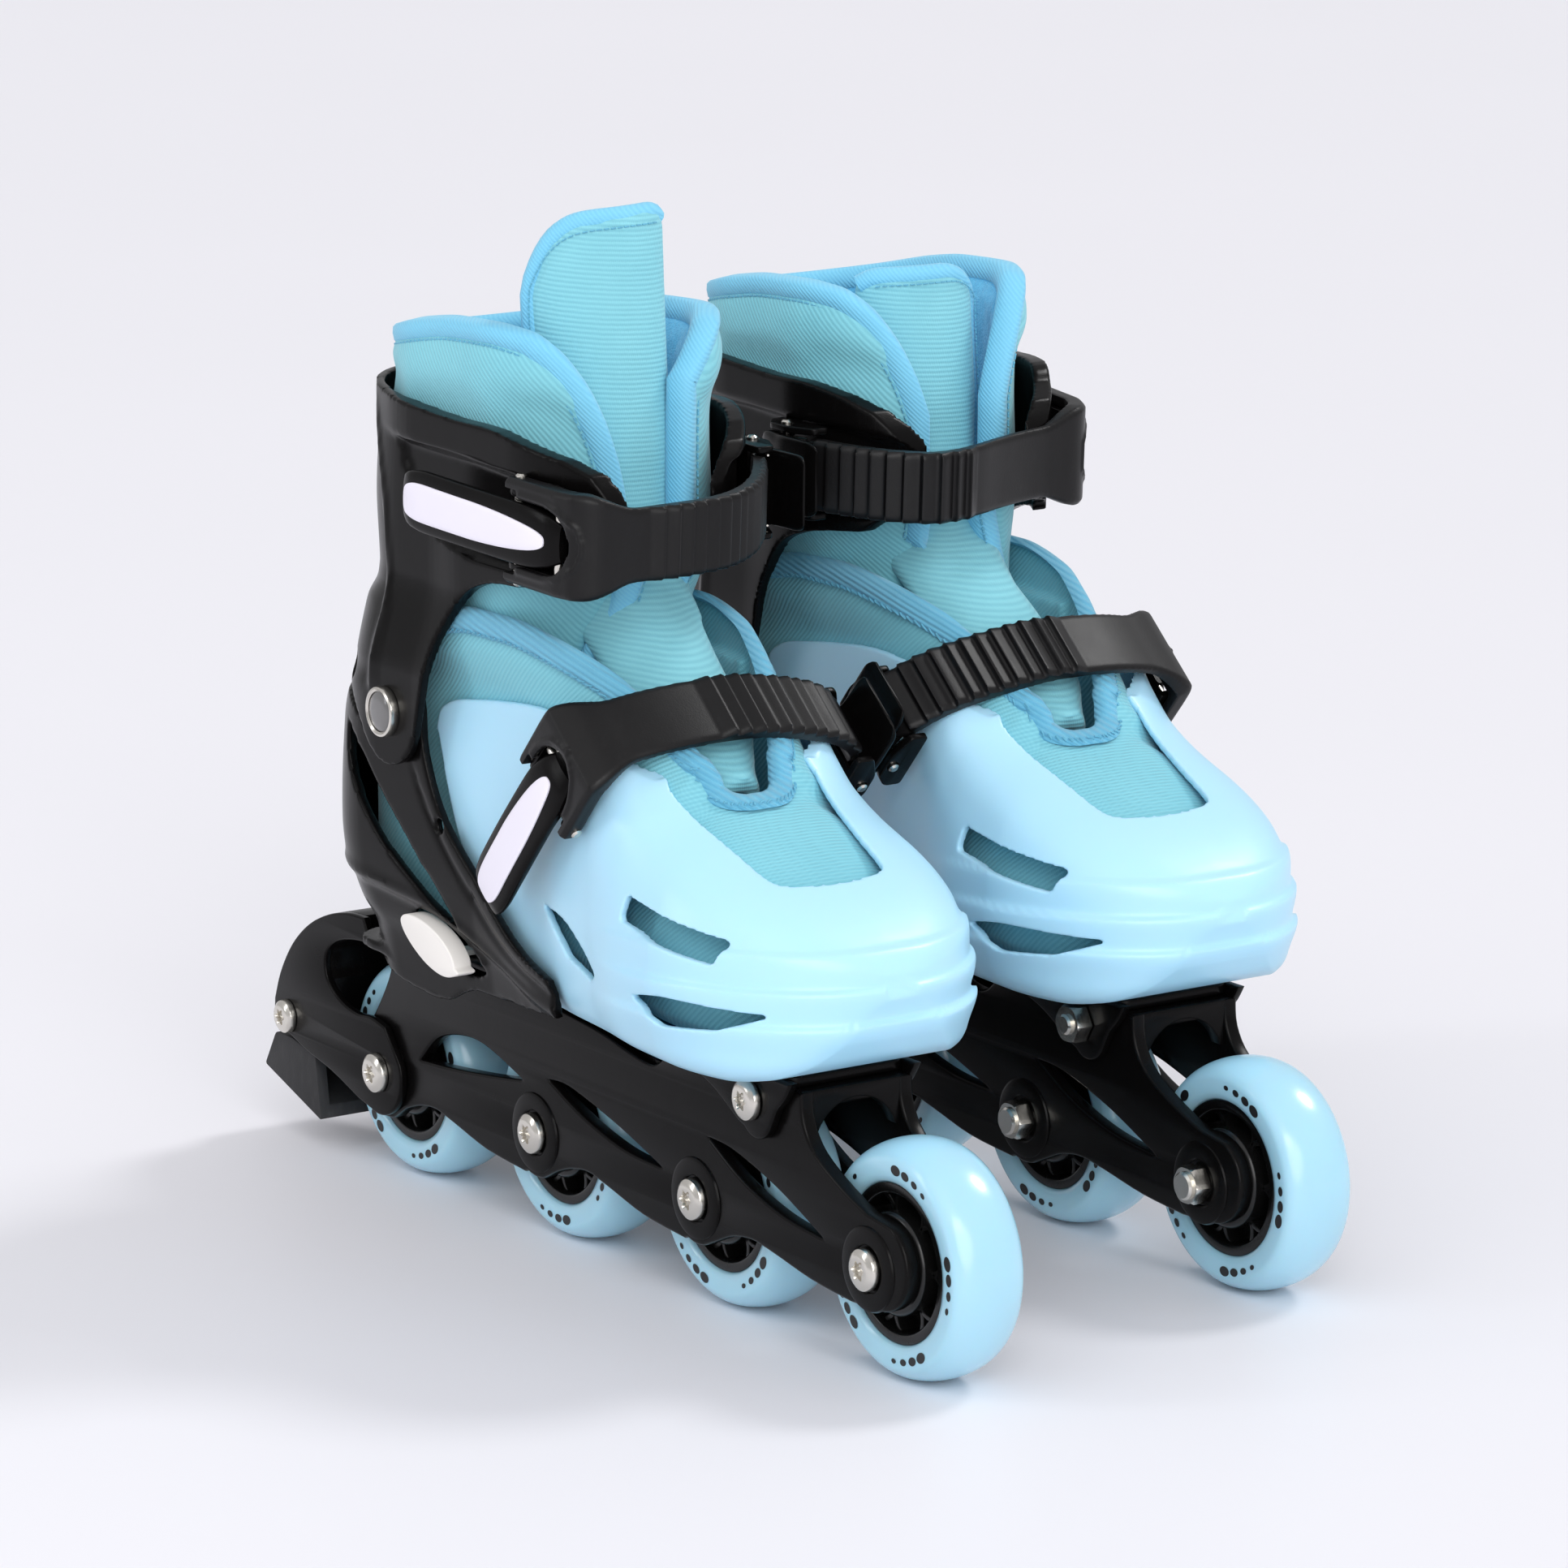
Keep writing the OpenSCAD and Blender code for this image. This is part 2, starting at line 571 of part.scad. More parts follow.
module catch(depth) {
    color(plastic) difference() {
        union() {
            for (s = [-1, 1]) across([[-9, -depth], [12, -depth], [12, -1], [4, 3], [-4, 3],
                [-9, -1]], s * catch_w, s * (catch_w + cheek_t));
            across([[-9, -depth], [7, -depth], [7, -depth + 1], [-9, -depth + 1]],
                -catch_w - 0.5, catch_w + 0.5);
        }
        pin_across(0, 0, pin_r, 20);
    }
    color(steel) pin_across(0, 0, pin_r - 0.02, catch_w + cheek_t + 0.8);
}

module release() {
    outline = concat([[-8, 1.6], [-8, 3.4], [4, 5], [19, 5.4], [20, 4.4], [20, 3.4], [4, 2.4]],
        arc([0, 0], 2.7, 320, 200, 4));
    color(plastic) difference() {
        across(outline, -catch_w + 0.4, catch_w - 0.4);
        pin_across(0, 0, pin_r, 20);
    }
}

// Ankle buckle on the cuff
ankle_lever_x = 18;
ankle_catch = [88, 49, 208];

// Plan path [x, y] of the strap, from its fork round the front and over the inner arm of
// the cuff into the ratchet
function ankle_wrap(side) = concat(side == "right"
    ? [[134, -38.3], [138, -34], [139.7, -27], [139.5, -15], [139, -3], [137.5, 9], [134.5, 19]]
    : [[112, -34], [116, -30], [118.5, -23], [120.5, -12], [124, 0], [128, 11], [130.5, 20]],
    [[129.7, 28.3], [121.5, 36.5], [111.5, 42.5], [102, 45.8], [94, 46.5]]);
function into_buckle(p, pin, turn) = let (d = p - [pin[0], pin[1]])
    [d[0] * cos(turn) + d[1] * sin(turn), d[0] * sin(turn) - d[1] * cos(turn)];

module ankle_frame(side) {
    in_buckle(ankle_pin(side), ankle_tilt, ankle_turn(side)) children();
}

module ankle_catch_frame() {
    mirror([0, 1, 0]) in_buckle([ankle_catch[0], -ankle_catch[1], ankle_catch[2]], -1) children();
}

module ankle_buckle(side) {
    ankle_frame(side) bracket(ankle_lever_x, 3.6);
    ankle_catch_frame() catch(6.2);
}

module ankle_lever(side) { ankle_frame(side) lever(ankle_lever_x, 50, -1); }

module ankle_strap(side) {
    ankle_frame(side) strap([for (p = ankle_wrap(side))
        into_buckle(p, ankle_pin(side), ankle_turn(side))]);
}

module ankle_release() { ankle_catch_frame() release(); }

// ---- toe shell and its buckle --------------------------------------------------------

toe_front = 228.5;
// Half width and height of the arch, as shares of the whole, from the sole to the top
toe_arch = [[0.8, 0], [0.9, 0.05], [0.965, 0.14], [1, 0.3], [1, 0.45], [0.975, 0.62],
    [0.93, 0.74], [0.85, 0.85], [0.7, 0.93], [0.45, 0.98], [0, 1]];

function toe_half(x) = x < 180
    ? lookup(x, [[50, 33], [80, 33.2], [92, 33.8], [104, 34.8], [112, 35.9], [120, 37.4], [130, 38.8], [140, 40.4],
        [150, 42.6], [160, 44.4], [180, 46]])
    : 46 * sqrt(max(0.0004, 1 - pow((x - 180) / (toe_front - 180), 2)));
function toe_top(x) = lookup(x, [[50, 190], [100, 190], [120, 182], [138, 172], [147, 157],
    [155, 146.5], [165, 139.5], [178, 133.5], [190, 128.5], [200, 124.5], [210, 120],
    [218, 115.5], [224, 111], [toe_front, 105]]);
function toe_low(x) = lookup(x, [[50, 75.4], [198, 75.4], [210, 77], [218, 80.5], [224, 87],
    [toe_front, 100]]);

// Arch of the toe at x; inset t comes off the width, the top and the floor
function toe_ring(x, t, shift = 0) =
    let (w = max(0.3, toe_half(x) - t), lo = toe_low(x) + t, hi = max(lo + 0.3, toe_top(x) - t),
        side = function (s, a) [x + shift, s * w * a[0], lo + (hi - lo) * a[1]],
        m = len(toe_arch) - 1)
    concat([for (i = [0 : m]) side(-1, toe_arch[i])],
        [for (i = [m - 1 : -1 : 0]) side(1, toe_arch[i])]);

module toe_shell() {
    xs = [56, 80, 92, 104, 120, 138, 147, 155, 165, 178, 190, 200, 210, 218, 224, 227.4];
    back = 70;
    upper = concat([[back - 30, 200], [back - 30, 146]], curve([[back - 4, 146], [74, 151],
        [88, 157.5], [104, 159.5], [122, 158.8], [134, 155], [143, 148], [150, 141.5]], 3),
        [[152, 141], [152, 200]]);
    rear = [[back - 30, 60], [80, 60], [80, 93], [back, 118], [back - 4, 146], [back - 30, 146]];
    window = concat([[120, -19], [150, -21], [156, -23]], [[195, -19], [199, -14], [200, 0],
        [199, 14], [195, 19]], [[156, 23], [150, 21], [120, 19]]);
    color(pale_blue) difference() {
        loft([for (x = xs) toe_ring(x, 0)]);
        loft([for (x = xs) toe_ring(x, toe_wall, x < 60 ? -2 : 0)]);
        side_slab(upper, -60, 60);
        side_slab(rear, -60, 60);
        translate([0, 0, 108]) linear_extrude(80) polygon(window);
        side_vents();
    }
}

// One rectangular and two lens-shaped vents in each flank
module side_vents() {
    for (s = [-1, 1]) {
        side_slab([[163, 113], [165, 119.5], [203, 114], [201, 108]], s * 20, s * 60);
        side_slab(concat(curve([[113, 106], [128, 104], [146, 95]], 3),
            curve([[143, 92], [128, 94.5]], 3)), s * 30, s * 60);
        side_slab(concat(curve([[170, 94], [188, 97], [216, 96]], 3),
            curve([[204, 91], [186, 89.5]], 3)), s * 20, s * 60);
    }
}

// Toothed bar that ties the toe shell to the size button
module toe_rack() {
    color(plastic) {
        translate([42, -29.8, 77.9]) cube([18 + 2 * size_travel, 3.5, 1.6]);
        for (i = [0 : 7]) translate([46 + 5 * i, -26.4, 77.9])
            linear_extrude(1.6) polygon([[0, 0], [2.6, 2.8], [3.4, 2.8], [3.4, 0]]);
    }
}

toe_lever_x = 8;
toe_catch = [130.6, 49.3, 141];
toe_path = [[17, 0.5], [20.5, -4.5], [23.5, -12], [26, -24], [27, -37], [26.5, -50],
    [23.5, -63], [19.3, -75.5], [14.8, -83], [10.5, -87.2],
    [5.5, -88.8]];

module toe_buckle() {
    in_buckle(toe_pin, toe_tilt) bracket(toe_lever_x, 3.6);
    mirror([0, 1, 0]) in_buckle([toe_catch[0], -toe_catch[1], toe_catch[2]], toe_tilt) catch(6.6);
}

module toe_lever() { in_buckle(toe_pin, toe_tilt) lever(toe_lever_x, 46, -0.6); }

module toe_strap() { in_buckle(toe_pin, toe_tilt) strap(toe_path); }

module toe_release() {
    mirror([0, 1, 0]) in_buckle([toe_catch[0], -toe_catch[1], toe_catch[2]], toe_tilt) release();
}

// ---- heel brake ----------------------------------------------------------------------

module brake_arm() {
    outer = concat(arc([0, axle_z], 12.5, 250, 380, 7),
        curve([[4, 46], [-4, 47.5], [-12, 47], [-21, 49], [-28, 54], [-28.5, 61], [-22, 66],
            [-10, 68.5], [3.6, 68.5]], 3),
        [[3.6, 71.8], [-5, 72]],
        curve([[-7, 76], [-16, 75.6], [-27, 73], [-38, 68], [-47.5, 60.5], [-54.5, 51],
            [-58.3, 42]], 3),
        arc(brake_bolt, 8, 175, 225, 3),
        curve([[-50, 32.5], [-40, 29.5], [-26, 26.5], [-12, 22]], 3));
    clear_r = wheel_r + 3;
    color(plastic) difference() {
        union() {
            side_slabs(outer, plate_out + 0.1, plate_out + 2.6);
            difference() {
                side_slab(outer, -plate_out - 1, plate_out + 1);
                pin_y([0, axle_z], clear_r, -40, 40);
                side_slab([[3, 0], [40, 0], [40, 90], [3, 90]], -40, 40);
                side_slab([[-9, 40], [10, 40], [10, 90], [-9, 90]], -40, 40);
            }
        }
        pin_y([0, axle_z], axle_r + 0.02, -40, 40);
        pin_y(brake_bolt, 3, -40, 40);
        side_slab([[-66, 20], [-42, 20], [-42, 46], [-66, 46]], -7.4, 7.4);
    }
}

// Hollow rubber wedge, open towards the wheel, hung from the arm by its lug
module brake_pad() {
    color(rubber) difference() {
        union() {
            side_slab([[-60.5, 31], [-67, 20], [-35, 9.5], [-38, 28.2], [-41, 28.8],
                [-51, 31.5]], -19, 19);
            side_slab(concat([[-44, 28], [-44, 38]], arc(brake_bolt, 6.5, 0, 180, 6),
                [[-57, 30]]), -7, 7);
        }
        pin_y(brake_bolt, 3, -40, 40);
        side_slab([[-54, 26.5], [-59.5, 21.5], [-28, 11.5], [-28, 25], [-42, 25]], -15.5, 15.5);
    }
}

// ---- nodes ---------------------------------------------------------------------------

for (side = SIDES) {
    on(side) frame();
    on(side) fasteners(side == "right");
    on(side) bearing_races();
    on(side) sole_plate();
    on(side) heel_shell();
    on(side) liner_foot();
    on(side) cuff(side);
    on(side) liner_collar(side);
    on(side) tongue(side);
    on(side) ankle_buckle(side);
    on(side) ankle_strap(side);
    on(side) ankle_lever(side);
    on(side) ankle_release();
    on(side) toe_shell();
    on(side) toe_rack();
    on(side) toe_buckle();
    on(side) toe_strap();
    on(side) toe_lever();
    on(side) toe_release();
    on(side) size_button();
    for (i = WHEELS) {
        on(side) tyre(i);
        on(side) hub(i);
    }
}
on("right") brake_arm();  // right_brake_arm
on("right") brake_pad();  // right_brake_pad
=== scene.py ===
"""Visual model of a pair of size-adjustable inline skates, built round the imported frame.

Each skate is modelled in its own frame in millimetres: x forward from the rear axle, z up
from the ground, y = 0 in the wheel plane and the outer side of the foot at -y. The left
skate is the mirror image. place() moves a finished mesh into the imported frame.
"""
import math

import bmesh
import bpy
import numpy as np
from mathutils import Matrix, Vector


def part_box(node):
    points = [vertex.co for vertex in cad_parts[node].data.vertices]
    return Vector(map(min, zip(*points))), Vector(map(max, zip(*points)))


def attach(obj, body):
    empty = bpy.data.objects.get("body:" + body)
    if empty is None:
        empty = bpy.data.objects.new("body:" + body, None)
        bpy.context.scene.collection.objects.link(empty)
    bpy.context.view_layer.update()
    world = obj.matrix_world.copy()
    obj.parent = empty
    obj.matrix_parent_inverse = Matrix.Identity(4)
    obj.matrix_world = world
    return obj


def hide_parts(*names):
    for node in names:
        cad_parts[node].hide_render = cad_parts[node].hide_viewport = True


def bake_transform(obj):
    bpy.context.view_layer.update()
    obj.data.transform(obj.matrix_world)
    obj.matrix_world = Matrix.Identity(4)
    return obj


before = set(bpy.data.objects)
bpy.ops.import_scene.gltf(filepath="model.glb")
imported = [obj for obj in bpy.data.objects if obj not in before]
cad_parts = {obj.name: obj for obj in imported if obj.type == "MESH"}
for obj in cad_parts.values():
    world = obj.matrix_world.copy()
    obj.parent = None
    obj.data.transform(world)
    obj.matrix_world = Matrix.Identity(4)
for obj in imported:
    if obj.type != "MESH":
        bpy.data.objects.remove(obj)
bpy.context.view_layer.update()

MM = 0.001
SIDES = ("right", "left")
PIVOT = (43.0, 147.5)   # ankle hinge [x, z]
AXLE_Z = 32.0
AXLE_PITCH = 80.0
WHEEL_R = 32.0
WHEEL_W = 22.0
HUB_R = 21.5
PLATE_IN = 13.5
PLATE_OUT = 18.0
DECK_Z = 72.0
UPPER_SHIFT = 3.0       # the leg stands this much to the inner side of the wheels
STRAP_W = 20.0
STRAP_T = 2.6
LEVER_W = 17.0
AXLES = [(i * AXLE_PITCH, 0, AXLE_Z) for i in range(4)]
AXLE_HOLE_R = 4.1
SOLE_BOLT = (190, 66.5)
BRAKE_BOLT = (-50.5, 38)
BOLT_HOLE_R = 3.1
BEYOND = 60.0           # half width of a cutter that passes through the whole skate
CLOTH_FRAMES = 16
CLOTH_PRESSURE = 4.0


def skate_origin(side):
    """Point under the rear axle of a skate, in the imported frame."""
    low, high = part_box(f"{side}_hub_1")
    middle = (low + high) / 2
    return np.array([middle.x, middle.y, middle.z - AXLE_Z * MM])


ORIGIN = {side: skate_origin(side) for side in SIDES}


# ---- curves ---------------------------------------------------------------------------


def smooth(x, pairs):
    """Monotone smooth curve through (key, value) pairs, held flat outside them."""
    keys, values = np.array(pairs, float).T
    slopes = np.diff(values) / np.diff(keys)
    joint = np.zeros(len(keys))
    joint[0], joint[-1] = slopes[0], slopes[-1]
    for i in range(1, len(keys) - 1):
        a, b = slopes[i - 1], slopes[i]
        joint[i] = 2 * a * b / (a + b) if a * b > 0 else 0.0
    x = np.clip(np.asarray(x, float), keys[0], keys[-1])
    i = np.clip(np.searchsorted(keys, x, "right") - 1, 0, len(keys) - 2)
    h = keys[i + 1] - keys[i]
    t = (x - keys[i]) / h
    return ((1 + 2 * t) * (1 - t) ** 2 * values[i] + t * (1 - t) ** 2 * h * joint[i]
            + t * t * (3 - 2 * t) * values[i + 1] + t * t * (t - 1) * h * joint[i + 1])


def step(x, low, high):
    """Smooth step from 0 at low to 1 at high."""
    t = np.clip((np.asarray(x, float) - low) / (high - low), 0, 1)
    return t * t * (3 - 2 * t)


def spline(points, steps=6):
    """Catmull-Rom curve through points, with steps pieces a span."""
    p = [np.array(q, float) for q in points]
    last = len(p) - 1
    out = []
    for i in range(last):
        a, b, c, d = p[max(i - 1, 0)], p[i], p[i + 1], p[min(i + 2, last)]
        for k in range(steps):
            t = k / steps
            out.append(0.5 * (2 * b + (c - a) * t + (2 * a - 5 * b + 4 * c - d) * t * t
                              + (3 * b - a - 3 * c + d) * t ** 3))
    return out + [p[last]]


def arc(centre, r, start, end, n):
    angles = np.radians(np.linspace(start, end, n + 1))
    return [np.array([centre[0] + r * math.cos(a), centre[1] + r * math.sin(a)]) for a in angles]


def circle(x, z, r, n=36):
    return arc((x, z), r, 0, 360 * (n - 1) / n, n - 1)


def round_angles(n):
    """n angles evenly round a circle."""
    return np.linspace(0, 2 * math.pi, n, endpoint=False)


def oval(centre, a, b, turn):
    """Ellipse with half axes a and b, turned by turn degrees."""
    out = []
    c, s = math.cos(math.radians(turn)), math.sin(math.radians(turn))
    for t in round_angles(40):
        x, y = a * math.cos(t), b * math.sin(t)
        out.append(np.array([centre[0] + x * c - y * s, centre[1] + x * s + y * c]))
    return out


def squared(value, power):
    """A sine or cosine pushed out towards 1 and -1, which squares off an oval."""
    return math.copysign(abs(value) ** power, value)


def travelled(line):
    """Length of a line up to each of its points."""
    spans = [np.linalg.norm(line[i + 1] - line[i]) for i in range(len(line) - 1)]
    return np.concatenate([[0], np.cumsum(spans)])


def rounded(outline, r, steps=5):
    """Closed outline with every corner rounded to about r."""
    out = []
    n = len(outline)
    for i in range(n):
        a, b, c = (np.array(outline[(i + k) % n], float) for k in (-1, 0, 1))
        before, after = a - b, c - b
        reach = min(r, 0.45 * np.linalg.norm(before), 0.45 * np.linalg.norm(after))
        p = b + before / np.linalg.norm(before) * reach
        q = b + after / np.linalg.norm(after) * reach
        for t in np.linspace(0, 1, steps):
            out.append((1 - t) ** 2 * p + 2 * t * (1 - t) * b + t * t * q)
    return out


# ---- mesh tools -----------------------------------------------------------------------


def link(obj):
    bpy.context.scene.collection.objects.link(obj)
    return obj


def new_object(name, verts, faces):
    mesh = bpy.data.meshes.new(name)
    mesh.from_pydata([tuple(map(float, v)) for v in verts], [], faces)
    return link(bpy.data.objects.new(name, mesh))


def duplicate(obj):
    twin = obj.copy()
    twin.data = obj.data.copy()
    return link(twin)


def positions(mesh):
    """Vertex positions, one row each."""
    co = np.zeros(len(mesh.vertices) * 3)
    mesh.vertices.foreach_get("co", co)
    return co.reshape(-1, 3)


def move_to(mesh, rows):
    mesh.vertices.foreach_set("co", rows.ravel())
    mesh.update()


def modify(obj, kind, **settings):
    """Adds a modifier of one kind with its settings."""
    modifier = obj.modifiers.new(kind.lower(), kind)
    for key, value in settings.items():
        setattr(modifier, key, value)
    return modifier


def outward(obj):
    """Turns all faces of a closed mesh outwards."""
    bm = bmesh.new()
    bm.from_mesh(obj.data)
    bmesh.ops.recalc_face_normals(bm, faces=bm.faces)
    if bm.calc_volume(signed=True) < 0:
        bmesh.ops.reverse_faces(bm, faces=bm.faces)
    bm.to_mesh(obj.data)
    bm.free()
    return obj


def bake(obj):
    """Replaces the mesh by what its modifiers make of it."""
    graph = bpy.context.evaluated_depsgraph_get()
    mesh = bpy.data.meshes.new_from_object(obj.evaluated_get(graph))
    obj.modifiers.clear()
    obj.data = mesh
    return obj


def carve(obj, tools, how="DIFFERENCE"):
    """Boolean of obj with each tool; the tools are used up."""
    for tool in tools:
        modify(obj, "BOOLEAN", operation=how, object=tool, solver="MANIFOLD")
    bake(obj)
    for tool in tools:
        bpy.data.objects.remove(tool)
    return obj


def join(objects):
    """One object holding the meshes of several; the first one is kept."""
    bm = bmesh.new()
    for obj in objects:
        bm.from_mesh(obj.data)
    bm.to_mesh(objects[0].data)
    bm.free()
    for obj in objects[1:]:
        bpy.data.objects.remove(obj)
    return objects[0]


def melt(obj, voxel, passes, keep):
    """Fuses overlapping solids into one skin with soft moulded edges, keeping a share of its faces."""
    modify(obj, "REMESH", mode="VOXEL", voxel_size=voxel)
    modify(obj, "SMOOTH", factor=0.5, iterations=passes)
    modify(obj, "DECIMATE", ratio=keep)
    return bake(obj)


def stuffed(obj, voxel, limit):
    """Foam-filled look: a cloth run under inner pressure that moves each point limit(z) mm at most."""
    modify(obj, "REMESH", mode="VOXEL", voxel_size=voxel)
    start = positions(bake(obj).data)
    move_to(obj.data, start * MM)
    cloth = modify(obj, "CLOTH")
    cloth.settings.use_pressure = True
    cloth.settings.uniform_pressure_force = CLOTH_PRESSURE
    cloth.settings.effector_weights.gravity = 0
    cloth.settings.quality = 4
    cloth.point_cache.frame_start, cloth.point_cache.frame_end = 1, CLOTH_FRAMES
    scene = bpy.context.scene
    for moment in range(1, CLOTH_FRAMES + 1):
        scene.frame_set(moment)
    swollen = bake(obj).data
    scene.frame_set(1)
    move = positions(swollen) / MM - start
    reach = np.linalg.norm(move, axis=1, keepdims=True)
    allowed = np.array([limit(z) for z in start[:, 2]])[:, None]
    move_to(swollen, start + move * allowed / np.maximum(reach, allowed))
    modify(obj, "SMOOTH", factor=0.5, iterations=2)
    modify(obj, "SUBSURF", levels=1, render_levels=1)
    return bake(obj)


def grid_faces(rows, cols, start=0, wrap_rows=False, wrap_cols=False):
    faces = []
    for i in range(rows - (0 if wrap_rows else 1)):
        for j in range(cols - (0 if wrap_cols else 1)):
            a, b = i * cols + j, i * cols + (j + 1) % cols
            k = (i + 1) % rows
            faces.append((start + a, start + b, start + k * cols + (j + 1) % cols, start + k * cols + j))
    return faces


def shell(name, outer, inner):
    """Closed wall between two grids of points with the same rows and columns."""
    rows, cols = outer.shape[:2]
    n = rows * cols
    faces = grid_faces(rows, cols) + [f[::-1] for f in grid_faces(rows, cols, n)]
    for i in (0, rows - 1):
        for j in range(cols - 1):
            a = i * cols + j
            faces.append((a, a + 1, n + a + 1, n + a))
    for j in (0, cols - 1):
        for i in range(rows - 1):
            a = i * cols + j
            faces.append((a, a + cols, n + a + cols, n + a))
    verts = np.concatenate([outer.reshape(-1, 3), inner.reshape(-1, 3)])
    return outward(new_object(name, verts, faces))


def loft(name, rings):
    """Closed solid through rings of points, with a flat cap on both ends."""
    rows, cols = len(rings), len(rings[0])
    faces = grid_faces(rows, cols, wrap_cols=True)
    faces += [tuple(range(cols))[::-1], tuple(range((rows - 1) * cols, rows * cols))]
    return outward(new_object(name, np.concatenate([np.asarray(r, float) for r in rings]), faces))


def prism(outline, y0=-BEYOND, y1=BEYOND):
    """Side-view outline [x, z] as a solid between two y planes, beyond the skate if none are given."""
    return loft("prism", [[(p[0], y, p[1]) for p in outline] for y in (y0, y1)])


def slab(outline, z0, z1):
    """Plan outline [x, y] as a solid between two heights."""
    return loft("slab", [[(p[0], p[1], z) for p in outline] for z in (z0, z1)])


def plate(outlines, y0, y1, bevel):
    """Side-view outlines, the first with the others as holes, as a plate with round edges."""
    curve = bpy.data.curves.new("plate", "CURVE")
    curve.dimensions = "2D"
    curve.fill_mode = "BOTH"
    for outline in outlines:
        line = curve.splines.new("POLY")
        line.points.add(len(outline) - 1)
        for point, (x, z) in zip(line.points, outline):
            point.co = (x, z, 0, 1)
        line.use_cyclic_u = True
    curve.extrude = abs(y1 - y0) / 2 - bevel
    curve.bevel_depth = bevel
    curve.bevel_resolution = 2
    curve.offset = -bevel
    holder = link(bpy.data.objects.new("plate", curve))
    graph = bpy.context.evaluated_depsgraph_get()
    mesh = bpy.data.meshes.new_from_object(holder.evaluated_get(graph))
    bpy.data.objects.remove(holder)
    obj = link(bpy.data.objects.new("plate", mesh))
    middle = (y0 + y1) / 2
    for v in mesh.vertices:
        v.co = (v.co.x, middle + v.co.z, v.co.y)
    bm = bmesh.new()
    bm.from_mesh(mesh)
    bmesh.ops.remove_doubles(bm, verts=bm.verts, dist=0.001)
    bm.to_mesh(mesh)
    bm.free()
    return outward(obj)


def lathe(profile, at, axis=(0, 1, 0), steps=64):
    """Closed profile [r, h] turned round an axis through at; h runs along the axis."""
    a = Vector(axis).normalized()
    u = a.orthogonal().normalized()
    w = a.cross(u)
    verts = []
    for t in round_angles(steps):
        d = u * math.cos(t) + w * math.sin(t)
        verts += [Vector(at) + d * r + a * h for r, h in profile]
    faces = grid_faces(steps, len(profile), wrap_rows=True, wrap_cols=True)
    return outward(new_object("lathe", verts, faces))


def disc_profile(profile):
    """Profile of a solid turned part: closes an open [r, h] line on a thin core."""
    return [(0.05, profile[0][1])] + list(profile) + [(0.05, profile[-1][1])]


def sweep(path, section, up=(0, 0, 1)):
    """Section [side, up] carried along a path; up is a vector or a function of the point's number."""
    p = [Vector(q) for q in path]
    rings = []
    for i, point in enumerate(p):
        along = (p[min(i + 1, len(p) - 1)] - p[max(i - 1, 0)]).normalized()
        reference = Vector(up(i)) if callable(up) else Vector(up)
        side = along.cross(reference).normalized()
        over = side.cross(along)
        rings.append([point + side * s[0] + over * s[1] for s in section])
    return loft("sweep", rings)


def tube(path, r, sides=8, up=(0, 0, 1)):
    return sweep(path, [(r * math.cos(a), r * math.sin(a)) for a in round_angles(sides)], up)


def round_edges(obj, width, angle=35, segments=2):
    modify(obj, "BEVEL", width=width, segments=segments, limit_method="ANGLE",
           angle_limit=math.radians(angle), harden_normals=False)
    return bake(obj)


# ---- materials ------------------------------------------------------------------------


def srgb(r, g, b):
    """Linear colour with alpha of an 8-bit screen colour."""
    return tuple(((c / 255 + 0.055) / 1.055) ** 2.4 if c > 10 else c / 255 / 12.92
                 for c in (r, g, b)) + (1.0,)


